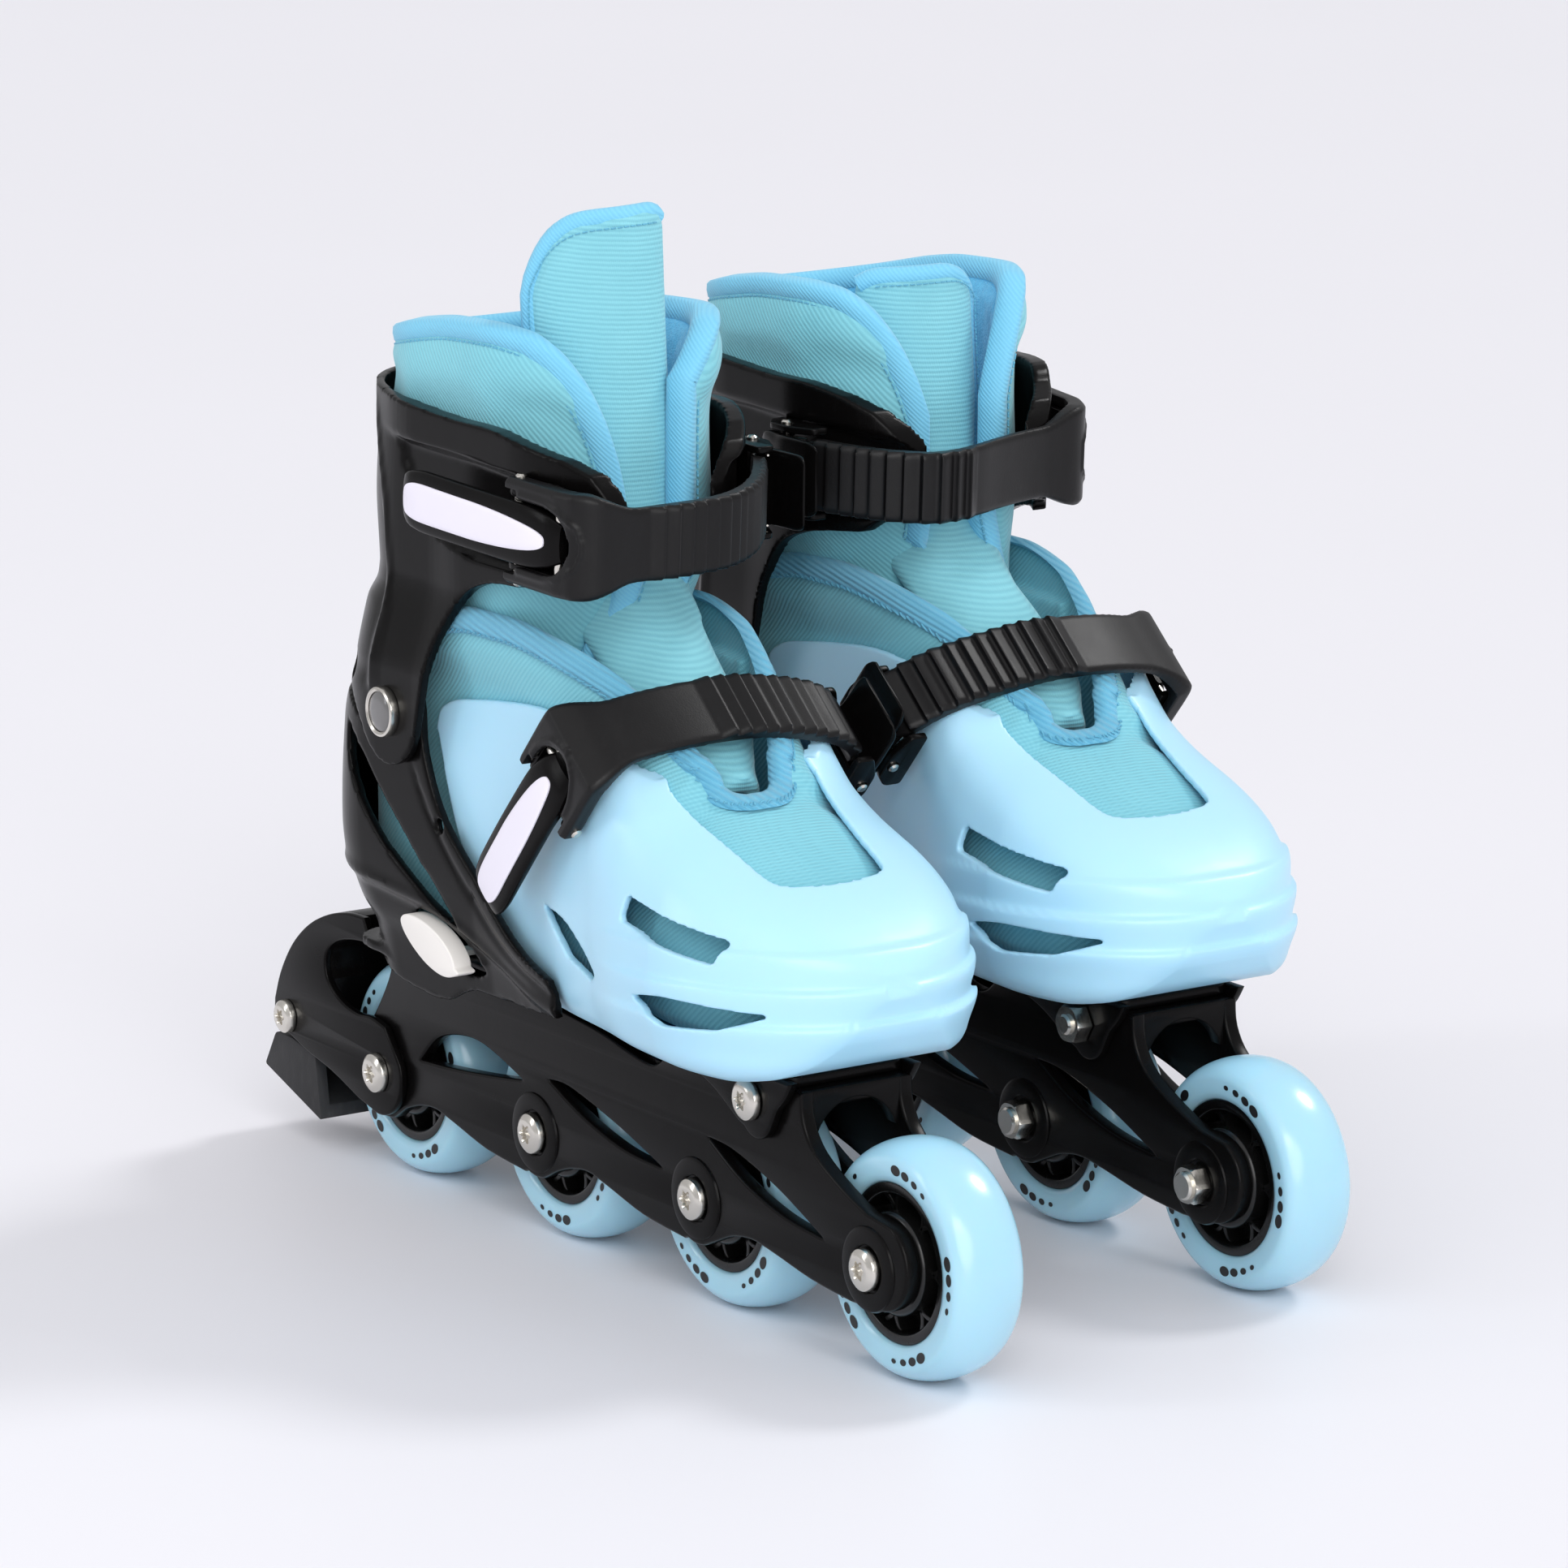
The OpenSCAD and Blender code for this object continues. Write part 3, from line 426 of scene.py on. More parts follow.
class Surface:
    """A node material with its Principled shader and object coordinates in metres."""

    def __init__(self, name, color, roughness, **sockets):
        self.material = bpy.data.materials.new(name)
        self.material.use_nodes = True
        self.nodes = self.material.node_tree.nodes
        self.links = self.material.node_tree.links
        self.shader = self.nodes["Principled BSDF"]
        self.shader.inputs["Base Color"].default_value = color
        self.shader.inputs["Roughness"].default_value = roughness
        for key, value in sockets.items():
            self.shader.inputs[key.replace("_", " ")].default_value = value
        self.where = self.nodes.new("ShaderNodeTexCoord").outputs["Object"]
        self.color = color
        self.height = None

    def add(self, kind, **settings):
        node = self.nodes.new(kind)
        for key, value in settings.items():
            if hasattr(node, key):
                setattr(node, key, value)
            else:
                node.inputs[key.replace("_", " ")].default_value = value
        return node

    def noise(self, size_mm, detail=3.0, stretch=None):
        """Noise with features about size_mm wide, as a 0 to 1 value."""
        node = self.add("ShaderNodeTexNoise", Scale=1000.0 / size_mm, Detail=detail)
        source = self.where
        if stretch is not None:
            mapping = self.add("ShaderNodeMapping")
            mapping.inputs["Scale"].default_value = stretch
            self.links.new(source, mapping.inputs["Vector"])
            source = mapping.outputs["Vector"]
        self.links.new(source, node.inputs["Vector"])
        return node.outputs["Fac"]

    def math(self, operation, a, b=None, c=None):
        node = self.add("ShaderNodeMath", operation=operation)
        for socket, value in zip(node.inputs, (a, b, c)):
            if value is None:
                continue
            if isinstance(value, (int, float)):
                socket.default_value = value
            else:
                self.links.new(value, socket)
        return node.outputs[0]

    def remap(self, value, low, high):
        node = self.add("ShaderNodeMapRange")
        node.inputs["To Min"].default_value = low
        node.inputs["To Max"].default_value = high
        self.links.new(value, node.inputs["Value"])
        return node.outputs["Result"]

    def vary_roughness(self, value, low, high):
        self.links.new(self.remap(value, low, high), self.shader.inputs["Roughness"])

    def vary_color(self, value, other):
        """Mixes the material's colour with another one by a value."""
        color_a, color_b, color_out = 6, 7, 2
        node = self.add("ShaderNodeMix", data_type="RGBA")
        node.inputs[color_a].default_value = self.color
        node.inputs[color_b].default_value = other
        self.links.new(value, node.inputs["Factor"])
        self.links.new(node.outputs[color_out], self.shader.inputs["Base Color"])

    def bump(self, height, depth_mm, strength=1.0):
        node = self.add("ShaderNodeBump")
        node.inputs["Strength"].default_value = strength
        node.inputs["Distance"].default_value = depth_mm * MM
        self.links.new(height, node.inputs["Height"])
        if self.height is not None:
            self.links.new(self.height, node.inputs["Normal"])
        self.height = node.outputs["Normal"]
        self.links.new(self.height, self.shader.inputs["Normal"])

    def stripes(self, direction, pitch_mm, wobble=0.0):
        """Sine stripes across a direction, as a -1 to 1 value."""
        dot = self.add("ShaderNodeVectorMath", operation="DOT_PRODUCT")
        dot.inputs[1].default_value = direction
        self.links.new(self.where, dot.inputs[0])
        phase = self.math("MULTIPLY", dot.outputs["Value"], 2 * math.pi / (pitch_mm * MM))
        if wobble:
            phase = self.math("ADD", phase, self.math("MULTIPLY", self.noise(9, 2), wobble))
        return self.math("SINE", phase)


def moulded(name, color, roughness, grain=0.02, spread=0.08, scuff=None, **sockets):
    """Injection-moulded plastic: fine grain, uneven gloss and faint handling marks."""
    s = Surface(name, color, roughness, **sockets)
    cloud = s.noise(14, 5)
    s.vary_roughness(cloud, roughness - spread, roughness + spread)
    if scuff is not None:
        marks = s.math("POWER", s.noise(2.2, 6, (1.0, 1.0, 0.35)), 6.0)
        s.vary_color(s.math("MULTIPLY", marks, 3.0), scuff)
    s.bump(s.noise(0.5, 4), grain)
    s.bump(s.noise(20, 2), 0.12, 0.5)
    return s.material


def ribbed(name, color, shade, direction, pitch, depth=0.16, roughness=0.75, weave=0.5):
    """Knitted fabric with fine ribs, a small cross weave and a sheen; its colour is mixed towards a darker
    shade tone as painted shade along the ribs and as painted shade of soft folds in broad patches.
    """
    s = Surface(name, color, roughness, Sheen_Weight=0.35, Sheen_Roughness=0.4)
    s.shader.inputs["Sheen Tint"].default_value = srgb(225, 248, 255)
    rib = s.stripes(direction, pitch, 1.6)
    cross = s.math("MULTIPLY", s.stripes((direction[1] + direction[2], direction[2] + direction[0],
                                          -direction[0] - direction[1]), weave), 0.35)
    cloth = s.math("ADD", rib, cross)
    # Share of the darker shade tone: painted shade along the ribs and cross weave, and painted shade of soft
    # folds from broad noise.
    mix = s.math("MULTIPLY_ADD", cloth, 0.13, 0.30)
    mix = s.math("ADD", mix, s.math("MULTIPLY", s.noise(22, 3), 0.28))
    s.vary_color(mix, shade)
    s.bump(cloth, depth)
    s.bump(s.noise(0.7, 3), 0.08)
    return s.material


def plush(name, color, shade):
    """Fuzzy brushed lining."""
    s = Surface(name, color, 0.95, Sheen_Weight=0.8, Sheen_Roughness=0.3)
    s.shader.inputs["Sheen Tint"].default_value = srgb(190, 232, 255)
    s.vary_color(s.noise(1.6, 6), shade)
    s.bump(s.noise(0.6, 6), 0.5)
    s.bump(s.noise(4, 4), 0.8, 0.6)
    return s.material


def metal(name, color, roughness):
    """Plated steel with turning marks."""
    s = Surface(name, color, roughness, Metallic=1.0)
    s.vary_roughness(s.noise(3, 5, (1.0, 6.0, 1.0)), roughness - 0.08, roughness + 0.1)
    s.bump(s.noise(0.8, 4), 0.02)
    return s.material


BLACK = moulded("black_plastic", srgb(9, 8, 8), 0.25, 0.02, 0.05, srgb(17, 16, 16),
                Specular_IOR_Level=0.1)
BLACK_SOFT = moulded("black_strap", srgb(15, 14, 15), 0.4, 0.03, 0.06, srgb(25, 24, 25),
                     Specular_IOR_Level=0.25)
BLACK_GLOSS = moulded("black_hub", srgb(12, 12, 12), 0.26, 0.01, 0.05, None, Specular_IOR_Level=0.4)
PALE = moulded("pale_blue_plastic", srgb(176, 225, 249), 0.36, 0.012, 0.05, None, Subsurface_Weight=0.08,
               Subsurface_Scale=0.004, Coat_Weight=0.12, Coat_Roughness=0.25)
URETHANE = moulded("pale_blue_urethane", srgb(166, 213, 232), 0.24, 0.01, 0.04, None,
                   Subsurface_Weight=0.15, Subsurface_Scale=0.005, Coat_Weight=0.3, Coat_Roughness=0.12)
WHITE = moulded("white_insert", srgb(236, 232, 244), 0.36, 0.01, 0.05)
IVORY = moulded("ivory_plastic", srgb(240, 236, 231), 0.4, 0.01, 0.06)
INK = moulded("ink", srgb(20, 20, 22), 0.45, 0.01, 0.04)
RIVET = moulded("grey_rivet", srgb(98, 97, 97), 0.2, 0.01, 0.05, None, Coat_Weight=0.6, Coat_Roughness=0.08)
RUBBER = moulded("brake_rubber", srgb(38, 38, 40), 0.72, 0.06, 0.1, srgb(62, 61, 62))
STEEL = metal("plated_steel", srgb(214, 210, 202), 0.22)
# Darker shade tone of the fabrics, mixed in as painted shade along ribs and soft folds.
SHADE = srgb(92, 168, 188)
COLLAR = ribbed("collar_fabric", srgb(146, 219, 229), SHADE, (0.72, 0.2, 0.66), 1.25, 0.05)
TONGUE = ribbed("tongue_fabric", srgb(152, 223, 233), SHADE, (0.12, 0.05, 1.0), 1.3, 0.06)
VAMP = ribbed("vamp_fabric", srgb(142, 214, 226), SHADE, (0.65, 0.0, -0.76), 1.2, 0.06)
BINDING = ribbed("binding", srgb(138, 214, 238), srgb(98, 184, 228), (0.5, 0.5, 0.7), 0.9, 0.05)
TWILL = ribbed("twill_binding", srgb(130, 212, 240), srgb(84, 172, 214), (0.2, 0.5, 0.9), 1.5, 0.16)
LINING = plush("fuzzy_lining", srgb(122, 210, 246), srgb(76, 164, 212))
THREAD = ribbed("thread", srgb(112, 192, 220), srgb(76, 148, 178), (0.7, 0.2, 0.7), 0.6, 0.05)


# ---- placing --------------------------------------------------------------------------


def shade(obj, angle):
    mesh = obj.data
    mesh.polygons.foreach_set("use_smooth", [True] * len(mesh.polygons))
    mesh.set_sharp_from_angle(angle=math.radians(angle))
    mesh.update()


FLEXING = "flexing"


def follow_cuff(obj):
    """A soft piece that crosses the ankle hinge gets its transform baked into its mesh and is attached to no
    body.
    """
    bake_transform(obj)


def place(obj, side, name, body, material, slot, replaces=(), angle=40):
    """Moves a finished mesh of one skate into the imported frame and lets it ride."""
    mesh = obj.data
    co = positions(mesh) * MM
    if side == "left":
        co[:, 1] *= -1
        mesh.flip_normals()
    move_to(mesh, co + ORIGIN[side])
    obj.name = f"{side}_{name}"
    mesh.materials.clear()
    mesh.materials.append(material)
    shade(obj, angle)
    if body == FLEXING:
        follow_cuff(obj)
    else:
        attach(obj, f"{side}_{body}")
    if replaces:
        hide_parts(*[f"{side}_{node}" for node in replaces])
    return obj


def place_pair(obj, *rest, **more):
    """Places the same piece on both skates, with what place() takes after the side."""
    for side, one in zip(SIDES, (obj, duplicate(obj))):
        place(one, side, *rest, **more)


# ---- wheels ---------------------------------------------------------------------------

SIDEWALL = 27.0


def tyre_half_width(r):
    """Half width of the elliptical tread at radius r."""
    if r <= SIDEWALL:
        return WHEEL_W / 2
    return WHEEL_W / 2 * math.sqrt(max(0.0, 1 - ((r - SIDEWALL) / (WHEEL_R - SIDEWALL)) ** 2))


def tyre(centre):
    tread = [(SIDEWALL + (WHEEL_R - SIDEWALL) * math.cos(t), WHEEL_W / 2 * math.sin(t))
             for t in np.linspace(-math.pi / 2, math.pi / 2, 25)]
    seat = [(HUB_R, 9.6), (HUB_R + 0.6, 10.4), (HUB_R + 2, WHEEL_W / 2 - 0.15)]
    profile = [(r, -h) for r, h in seat] + tread + seat[::-1]
    return lathe(profile, centre, steps=112)


def tyre_dots(centre, phase):
    """Groups of four printed ovals of falling size round both side walls."""
    verts, faces = [], []
    for group in range(5):
        for k, size in enumerate((1.75, 1.45, 1.15, 0.85)):
            angle = phase + math.radians(72 * group + 9.5 * k)
            for s in (-1, 1):
                radius = 25.6
                start = len(verts)
                for t in round_angles(20):
                    r = radius + size * 0.8 * math.sin(t)
                    a = angle * s + size * 1.15 * math.cos(t) / radius
                    y = s * (tyre_half_width(r) + 0.05)
                    verts.append((centre[0] + r * math.cos(a), y, centre[2] + r * math.sin(a)))
                face = tuple(range(start, start + 20))
                faces.append(face if s < 0 else face[::-1])
    return new_object("dots", verts, faces)


def hub(centre):
    """Rim and boss joined by a thin web and by pairs of curved ribs."""
    rim = lathe([(HUB_R - 3.2, -8.6), (HUB_R - 2.6, -9.6), (HUB_R - 0.1, -9.6), (HUB_R - 0.1, 9.6),
                 (HUB_R - 2.6, 9.6), (HUB_R - 3.2, 8.6)], centre, steps=72)
    boss = lathe([(11.2, -11), (13, -11), (13.9, -10), (13.9, 10), (13, 11), (11.2, 11)], centre, steps=56)
    web = lathe([(13, -1.4), (HUB_R - 2, -1.4), (HUB_R - 2, 1.4), (13, 1.4)], centre, steps=56)
    parts = [rim, boss, web]
    for k in range(7):
        a = 2 * math.pi * k / 7
        for bend in (-1, 1):
            line = []
            for t in np.linspace(0, 1, 9):
                r = 13.2 + t * (HUB_R - 2.6 - 13.2)
                angle = a + bend * 0.20 * t ** 1.6
                line.append((centre[0] + r * math.cos(angle), 0, centre[2] + r * math.sin(angle)))
            parts.append(sweep(line, [(-7.6, -0.75), (7.6, -0.75), (7.6, 0.75), (-7.6, 0.75)],
                               up=lambda i, a=a: (-math.sin(a), 0, math.cos(a))))
    for part in parts:
        round_edges(part, 0.35)
    return join(parts)


def bearing(centre):
    """Outer rings and shields of the two bearings, turning with the hub."""
    parts = []
    for s in (-1, 1):
        y = s * WHEEL_W / 2
        parts.append(lathe([(8.9, y - s * 6.5), (11, y - s * 6.5), (11, y - s * 0.3), (10.6, y), (9.4, y),
                            (9.1, y - s * 0.5), (6.9, y - s * 0.5), (6.9, y - s * 0.9), (8.9, y - s * 0.9)],
                           centre, steps=48))
    return join(parts)


def wheels():
    for i, centre in enumerate(AXLES, 1):
        body = f"wheel_{i}"
        place_pair(tyre(centre), f"tyre_ring_{i}", body, URETHANE, "urethane", (f"tyre_{i}",))
        place_pair(tyre_dots(centre, 0.5 + 1.7 * i), f"tyre_dots_{i}", body, INK, "black")
        place_pair(hub(centre), f"wheel_hub_{i}", body, BLACK_GLOSS, "black", (f"hub_{i}",))
        place_pair(bearing(centre), f"bearing_shields_{i}", body, STEEL, "steel")


# ---- frame ----------------------------------------------------------------------------


def belly(i):
    """Lower edge of the side plate from axle i to under the next axle."""
    a = i * AXLE_PITCH
    start = [(a + 10, AXLE_Z - 9.0), (a + 17, AXLE_Z - 6.6), (a + 26, AXLE_Z - 5.4), (a + 36, AXLE_Z - 7.2),
             (a + 54, AXLE_Z - 11), (a + AXLE_PITCH - 6, AXLE_Z - 12.6)]
    return spline(start, 4) + arc((a + AXLE_PITCH, AXLE_Z), 12.8, 250, 286, 6)


def frame_outline():
    """Side view of the plate, from behind the rear axle along the bottom to the front tower and back."""
    return (arc((0, AXLE_Z), 13.5, 165, 286, 14) + belly(0) + belly(1)
            + spline([(170, 22.6), (177, 25.4), (186, 26.6), (196, 25.4), (214, 22.4), (232, 21.0)], 4)
            + arc((244.5, 34), 12.3, 270, 425, 16)
            + spline([(239, 46.5), (228, 50.5), (215.5, 57), (210, 64), (209, 71.5)], 4)
            + spline([(148, 71.5), (145, 68), (139, 64.4), (128, 65.3), (113, 68), (92, 70), (76, 71.6)], 5)
            + spline([(5, 71.6), (3, 62), (-3, 52), (-8.5, 45)], 4)[:-1])


def eye_window(tail, top, nose, low):
    """Eye-shaped opening between a tail and a nose point."""
    return rounded(spline([tail, top[0], top[1], nose], 7) + spline([nose, low[1], low[0], tail], 7)[1:-1],
                   0.8, 3)


# Tail, two upper points, nose and two lower points of each opening.
WINDOWS = (((19, 39.5), ((30, 48.5), (50, 51.5)), (73, 45.5), ((34, 40.5), (56, 43))),
           ((87, 48.5), ((98, 48.5), (122, 43)), (143, 36.5), ((104, 42), (124, 37.5))),
           ((166, 50), ((178, 49), (198, 43.5)), (219, 35), ((182, 42), (200, 37))))


def skate_frame():
    """Two side plates with bosses, the decks under heel and sole, the front arch and the cross ribs."""
    holes = [eye_window(*w) for w in WINDOWS]
    holes += [circle(x, z, AXLE_HOLE_R) for x, _, z in AXLES] + [circle(*SOLE_BOLT, BOLT_HOLE_R)]
    parts = []
    for s in (-1, 1):
        parts.append(plate([frame_outline()] + holes, s * PLATE_IN, s * PLATE_OUT, 0.9))
        spacer = [(4.2, s * 12.95), (7.6, s * 12.95), (8.2, s * 13.8), (4.2, s * 13.8)]
        boss = [(6.2, s * 17.6), (11.6, s * 17.6), (11.2, s * 18.5), (10.4, s * 18.8), (6.8, s * 18.8),
                (6.4, s * 18.5)]
        for axle in AXLES:
            parts.append(lathe(spacer, axle, steps=40))
            parts.append(lathe(boss, axle, steps=56))
    for x0, x1 in ((5.4, 67), (150, 208.6)):
        deck = slab(rounded([(x0, -17), (x1, -17), (x1, 17), (x0, 17)], 1.5), DECK_Z - 5, DECK_Z - 0.2)
        parts.append(round_edges(deck, 0.6))
    wall = slab([(204.6, -17), (208.8, -17), (208.8, 17), (204.6, 17)], DECK_Z - 13, DECK_Z - 0.3)
    arch = lathe(disc_profile([(13.2, -12), (13.2, 12)]), (206, 0, DECK_Z - 17), axis=(1, 0, 0), steps=56)
    parts.append(round_edges(carve(wall, [arch]), 0.7))
    for x in (30, 46, 60, 170, 186):
        parts.append(prism([(x - 0.9, 60), (x + 0.9, 60), (x + 0.9, 67.5), (x - 0.9, 67.5)], -14, 14))
    return join(parts)


def sole_plate():
    """Base under the toe shell, with a V-shaped tab over each side of the front tower."""
    tab = (spline([(147.6, 74.6), (152, 71.8), (160, 69.6), (172, 66), (184, 59.6)], 5)
           + arc((192.5, 63.5), 7.2, 225, 330, 8) + spline([(202, 66), (206, 70), (209, 74.6)], 4))
    plan = rounded([(98, -21), (199, -21), (205, -17), (205, 17), (199, 21), (98, 21)], 3)
    parts = [round_edges(slab(plan, DECK_Z + 0.1, DECK_Z + 2.9), 0.5)]
    hole = circle(*SOLE_BOLT, BOLT_HOLE_R)
    for s in (-1, 1):
        parts.append(plate([tab, hole], s * (PLATE_OUT + 0.1), s * (PLATE_OUT + 3.1), 0.8))
    return join(parts)


def bolt_head(at, side, r, h):
    """Domed head of radius r and height h with a six-lobed recess, facing the given side."""
    rings = []
    star = 0.42 * r
    profile = [(1.0, 0.0, 0), (1.0, 0.35, 0), (0.95, 0.62, 0), (0.8, 0.86, 0), (0.62, 1.0, 0),
               (0.52, 1.0, 1), (0.50, 0.94, 1), (0.44, 0.5, 1), (0.30, 0.45, 1)]
    for radius, height, lobed in profile:
        ring = []
        for t in round_angles(60):
            lobe = star * (1 + 0.2 * math.cos(6 * t)) * radius / 0.52 if lobed else r * radius
            ring.append((at[0] + lobe * math.cos(t), at[1] + side * h * height, at[2] + lobe * math.sin(t)))
        rings.append(ring)
    return loft("bolt", rings)


def hex_nut(at, side, r, h, bore):
    """Nut with chamfered corners round the end of its bolt."""
    rings = []
    for shrink, height in ((1.0, 0.0), (1.0, 0.82), (0.9, 1.0)):
        ring = []
        for t in round_angles(36):
            flat = r * math.cos(math.pi / 6) / math.cos((t % (math.pi / 3)) - math.pi / 6)
            rr = flat if shrink == 1 else min(flat, r * shrink)
            ring.append((at[0] + rr * math.cos(t), at[1] + side * h * height, at[2] + rr * math.sin(t)))
        rings.append(ring)
    tip = [(bore, 0), (bore, side * (h + 0.7)), (bore - 0.6, side * (h + 1.3))]
    return join([loft("nut", rings), lathe(disc_profile(tip), at, steps=32)])


def fasteners(brake):
    """Bolts through the skate with their nuts: place, half width, head radius and shaft radius each."""
    outside = PLATE_OUT + (2.7 if brake else 0)
    spots = [((x, z), PLATE_OUT if x else outside, 5.8, 3.9) for x, _, z in AXLES]
    spots += [(SOLE_BOLT, PLATE_OUT + 3.4, 5.6, 2.9)]
    if brake:
        spots += [(BRAKE_BOLT, outside, 5.0, 2.9)]
    parts = []
    for (x, z), y, r, bore in spots:
        y += 0.75 if y == PLATE_OUT else 0.05
        parts.append(bolt_head((x, -y, z), -1, r, 2.7))
        parts.append(lathe(disc_profile([(bore - 0.1, -y), (bore - 0.1, y)]), (x, 0, z), steps=32))
        parts.append(hex_nut((x, y, z), 1, 5.6, 4.6, bore))
    for x in (20, 50):
        head = disc_profile([(4, 0), (4, 1), (3.4, 1.5)])
        parts.append(lathe(head, (x, 0, DECK_Z + 3), axis=(0, 0, 1), steps=32))
    return join(parts)


def races():
    """Inner rings of the bearings and the spacers between them."""
    bore = 4.05
    parts = []
    for axle in AXLES:
        for s in (-1, 1):
            ring = [(bore, s * 5), (6.2, s * 5), (6.2, s * 12.4), (5.8, s * 12.9), (bore, s * 12.9)]
            parts.append(lathe(ring, axle, steps=40))
        parts.append(lathe([(bore, -5), (5.2, -5), (5.2, 5), (bore, 5)], axle, steps=32))
    return join(parts)


def chassis():
    place_pair(skate_frame(), "side_frame", "chassis", BLACK, "black", ("frame",), 32)
    place_pair(sole_plate(), "sole_base", "chassis", BLACK, "black", ("sole_plate",), 32)
    place_pair(races(), "inner_races", "chassis", STEEL, "steel", ("bearing_races",))
    for side in SIDES:
        bolts = fasteners(side == "right")
        place(bolts, side, "bolts_and_nuts", "chassis", STEEL, "steel", ("fasteners",), 30)


# ---- heel shell -----------------------------------------------------------------------


def heel_relief(x, z):
    """Crease that runs from the back over the button to the toe, and a line in the strut."""
    ridge = smooth(x, [(-14, 99), (8, 97), (35, 95.5), (60, 93.5), (85, 86), (105, 79), (122, 76)])
    d = z - ridge
    groove = smooth(x, [(49, 136), (54, 127), (63, 116), (82, 100), (100, 88.5), (118, 82)])
    g = (z - groove) * 0.72
    return (-1.4 * step(-d, 0, 3.0) + 0.7 * np.exp(-((d - 0.9) / 1.3) ** 2)
            - 0.75 * np.exp(-(g / 0.9) ** 2) * step(x, 48, 54))


def heel_grid(t, relief):
    """Wall points at depth t: along the outer side, round the heel and back along the inner side."""
    rows = []
    for z in np.linspace(63, 161, 62):
        c = smooth(z, [(64, 29), (81, 29), (88, 26), (96, 24), (110, 22.7), (140, 25.5), (150, 29),
                       (162, 34)])
        r = smooth(z, [(64, 31), (72, 32), (81, 33.5), (88, 36), (96, 37.5), (110, 38.3), (160, 38.6)]) - t
        along = np.linspace(122, c, 60)[:-1]
        width = r + np.interp(along, [c, 80, 94, 108, 122], [0, 0.2, 1.6, 3.2, 4.4])
        a = np.linspace(0, math.pi, 66)
        zero, one = np.zeros_like(along), np.ones_like(along)
        x = np.concatenate([along, c - r * np.sin(a), along[::-1]])
        y = np.concatenate([-width, -r * np.cos(a), width[::-1]])
        nx = np.concatenate([zero, -np.sin(a), zero])
        ny = np.concatenate([-one, -np.cos(a), one])
        d = relief(x, z) if relief else np.zeros_like(x)
        rows.append(np.stack([x + nx * d, y + ny * d, np.full_like(x, z)], 1))
    return np.array(rows)


def button_leaf(grow, y0, y1):
    """Leaf-shaped face of the size button, pointed towards the toe."""
    outline = []
    for a in np.radians(np.arange(0, 360, 6)):
        c, s = math.cos(a), math.sin(a)
        r = 9.2 + grow
        lobe = 1 + 0.16 * math.exp(-((math.degrees(a) - 350) / 16) ** 2) if math.degrees(a) > 270 else 1
        outline.append((59 + r * 1.45 * c * (1.1 if c > 0 else 1) * lobe,
                        84.5 - r * 0.45 * c + r * (0.62 + 0.1 * c) * s))
    return prism(outline, y0, y1)


def heel_shell():
    body = shell("heel", heel_grid(0, heel_relief), heel_grid(3, None))
    edge = (spline([(54.8, 148), (56.5, 136), (66, 120), (88, 103), (104, 92.5), (120, 86.5)], 8)
            + [(120, 75.2)]
            + spline([(100, 73.5), (70, 72), (52, 65.5), (30, 66.5), (6, 72), (-20, 76)], 6) + [(-20, 148)]
            + spline([(-4, 148), (8, 147.4), (16, 145.4), (22, 142.6), (26, 140.2)], 5)
            + [(29.6, 139.4), (31, 142.5)] + arc(PIVOT, 12, 180, 10, 16))
    carve(body, [prism(edge)], "INTERSECT")
    slot = [(13, 140), (15.5, 126), (36, 106.5), (71, 90.5), (50, 109), (33, 123), (24, 132)]
    slot = rounded(spline(slot, 7), 1.2, 3)
    tools = [prism(slot), button_leaf(0.7, -BEYOND, -28)]
    tools += [lathe(disc_profile([(2.3, -BEYOND), (2.3, BEYOND)]), (64, 0, 118.5), steps=6)]
    carve(body, tools)
    floor = slab(rounded([(0, -30.5), (96, -30.5), (96, 30.5), (0, 30.5)], 14), DECK_Z + 0.05, DECK_Z + 3)
    return melt(join([body, floor]), 0.75, 5, 0.4)


def size_button():
    leaf = button_leaf(0, -40.1, -34.2)
    round_edges(leaf, 1.1, 50, 3)
    stem = slab([(56.5, -35), (61.5, -35), (61.5, -21.6), (56.5, -21.6)], 79.9, 81.4)
    tooth = slab([(58, -23.2), (60, -23.2), (60, -21.5), (58, -21.5)], 78, 81)
    return join([leaf, stem, tooth])


def heels():
    place_pair(heel_shell(), "heel_moulding", "chassis", BLACK, "black", ("heel_shell",), 60)
    place_pair(size_button(), "size_leaf_button", "size_button", IVORY, "ivory", ("size_button",))


# ---- cuff -----------------------------------------------------------------------------

CUFF_TIP = {"right": 0, "left": -19}    # how far the front tip of the outer side is moved

def leg_plan(c, yc, a, b, outer_arm, inner_arm):
    """Plan round the back of the leg and its outward normals, outer front to inner front."""
    points, normals = [], []

    def arm(m, sign):
        run = []
        for t in np.radians(np.linspace(90 - m[2], 90, 26)):
            run.append(((m[0] + m[1] * math.cos(t), yc + sign * (b - m[1] + m[1] * math.sin(t))),
                        (math.cos(t), sign * math.sin(t))))
        for x in np.linspace(m[0], c, 20)[1:-1]:
            run.append(((x, yc + sign * b), (0, sign)))
        return run

    outer, inner = arm(outer_arm, -1), arm(inner_arm, 1)
    back = []
    for t in np.linspace(0, math.pi, 60):
        n = np.array([-math.sin(t) * b, -math.cos(t) * a])
        back.append(((c - a * math.sin(t), yc - b * math.cos(t)), n / np.linalg.norm(n)))
    for p, n in outer + back + inner[::-1]:
        points.append(p)
        normals.append(n)
    return np.array(points), np.array(normals)


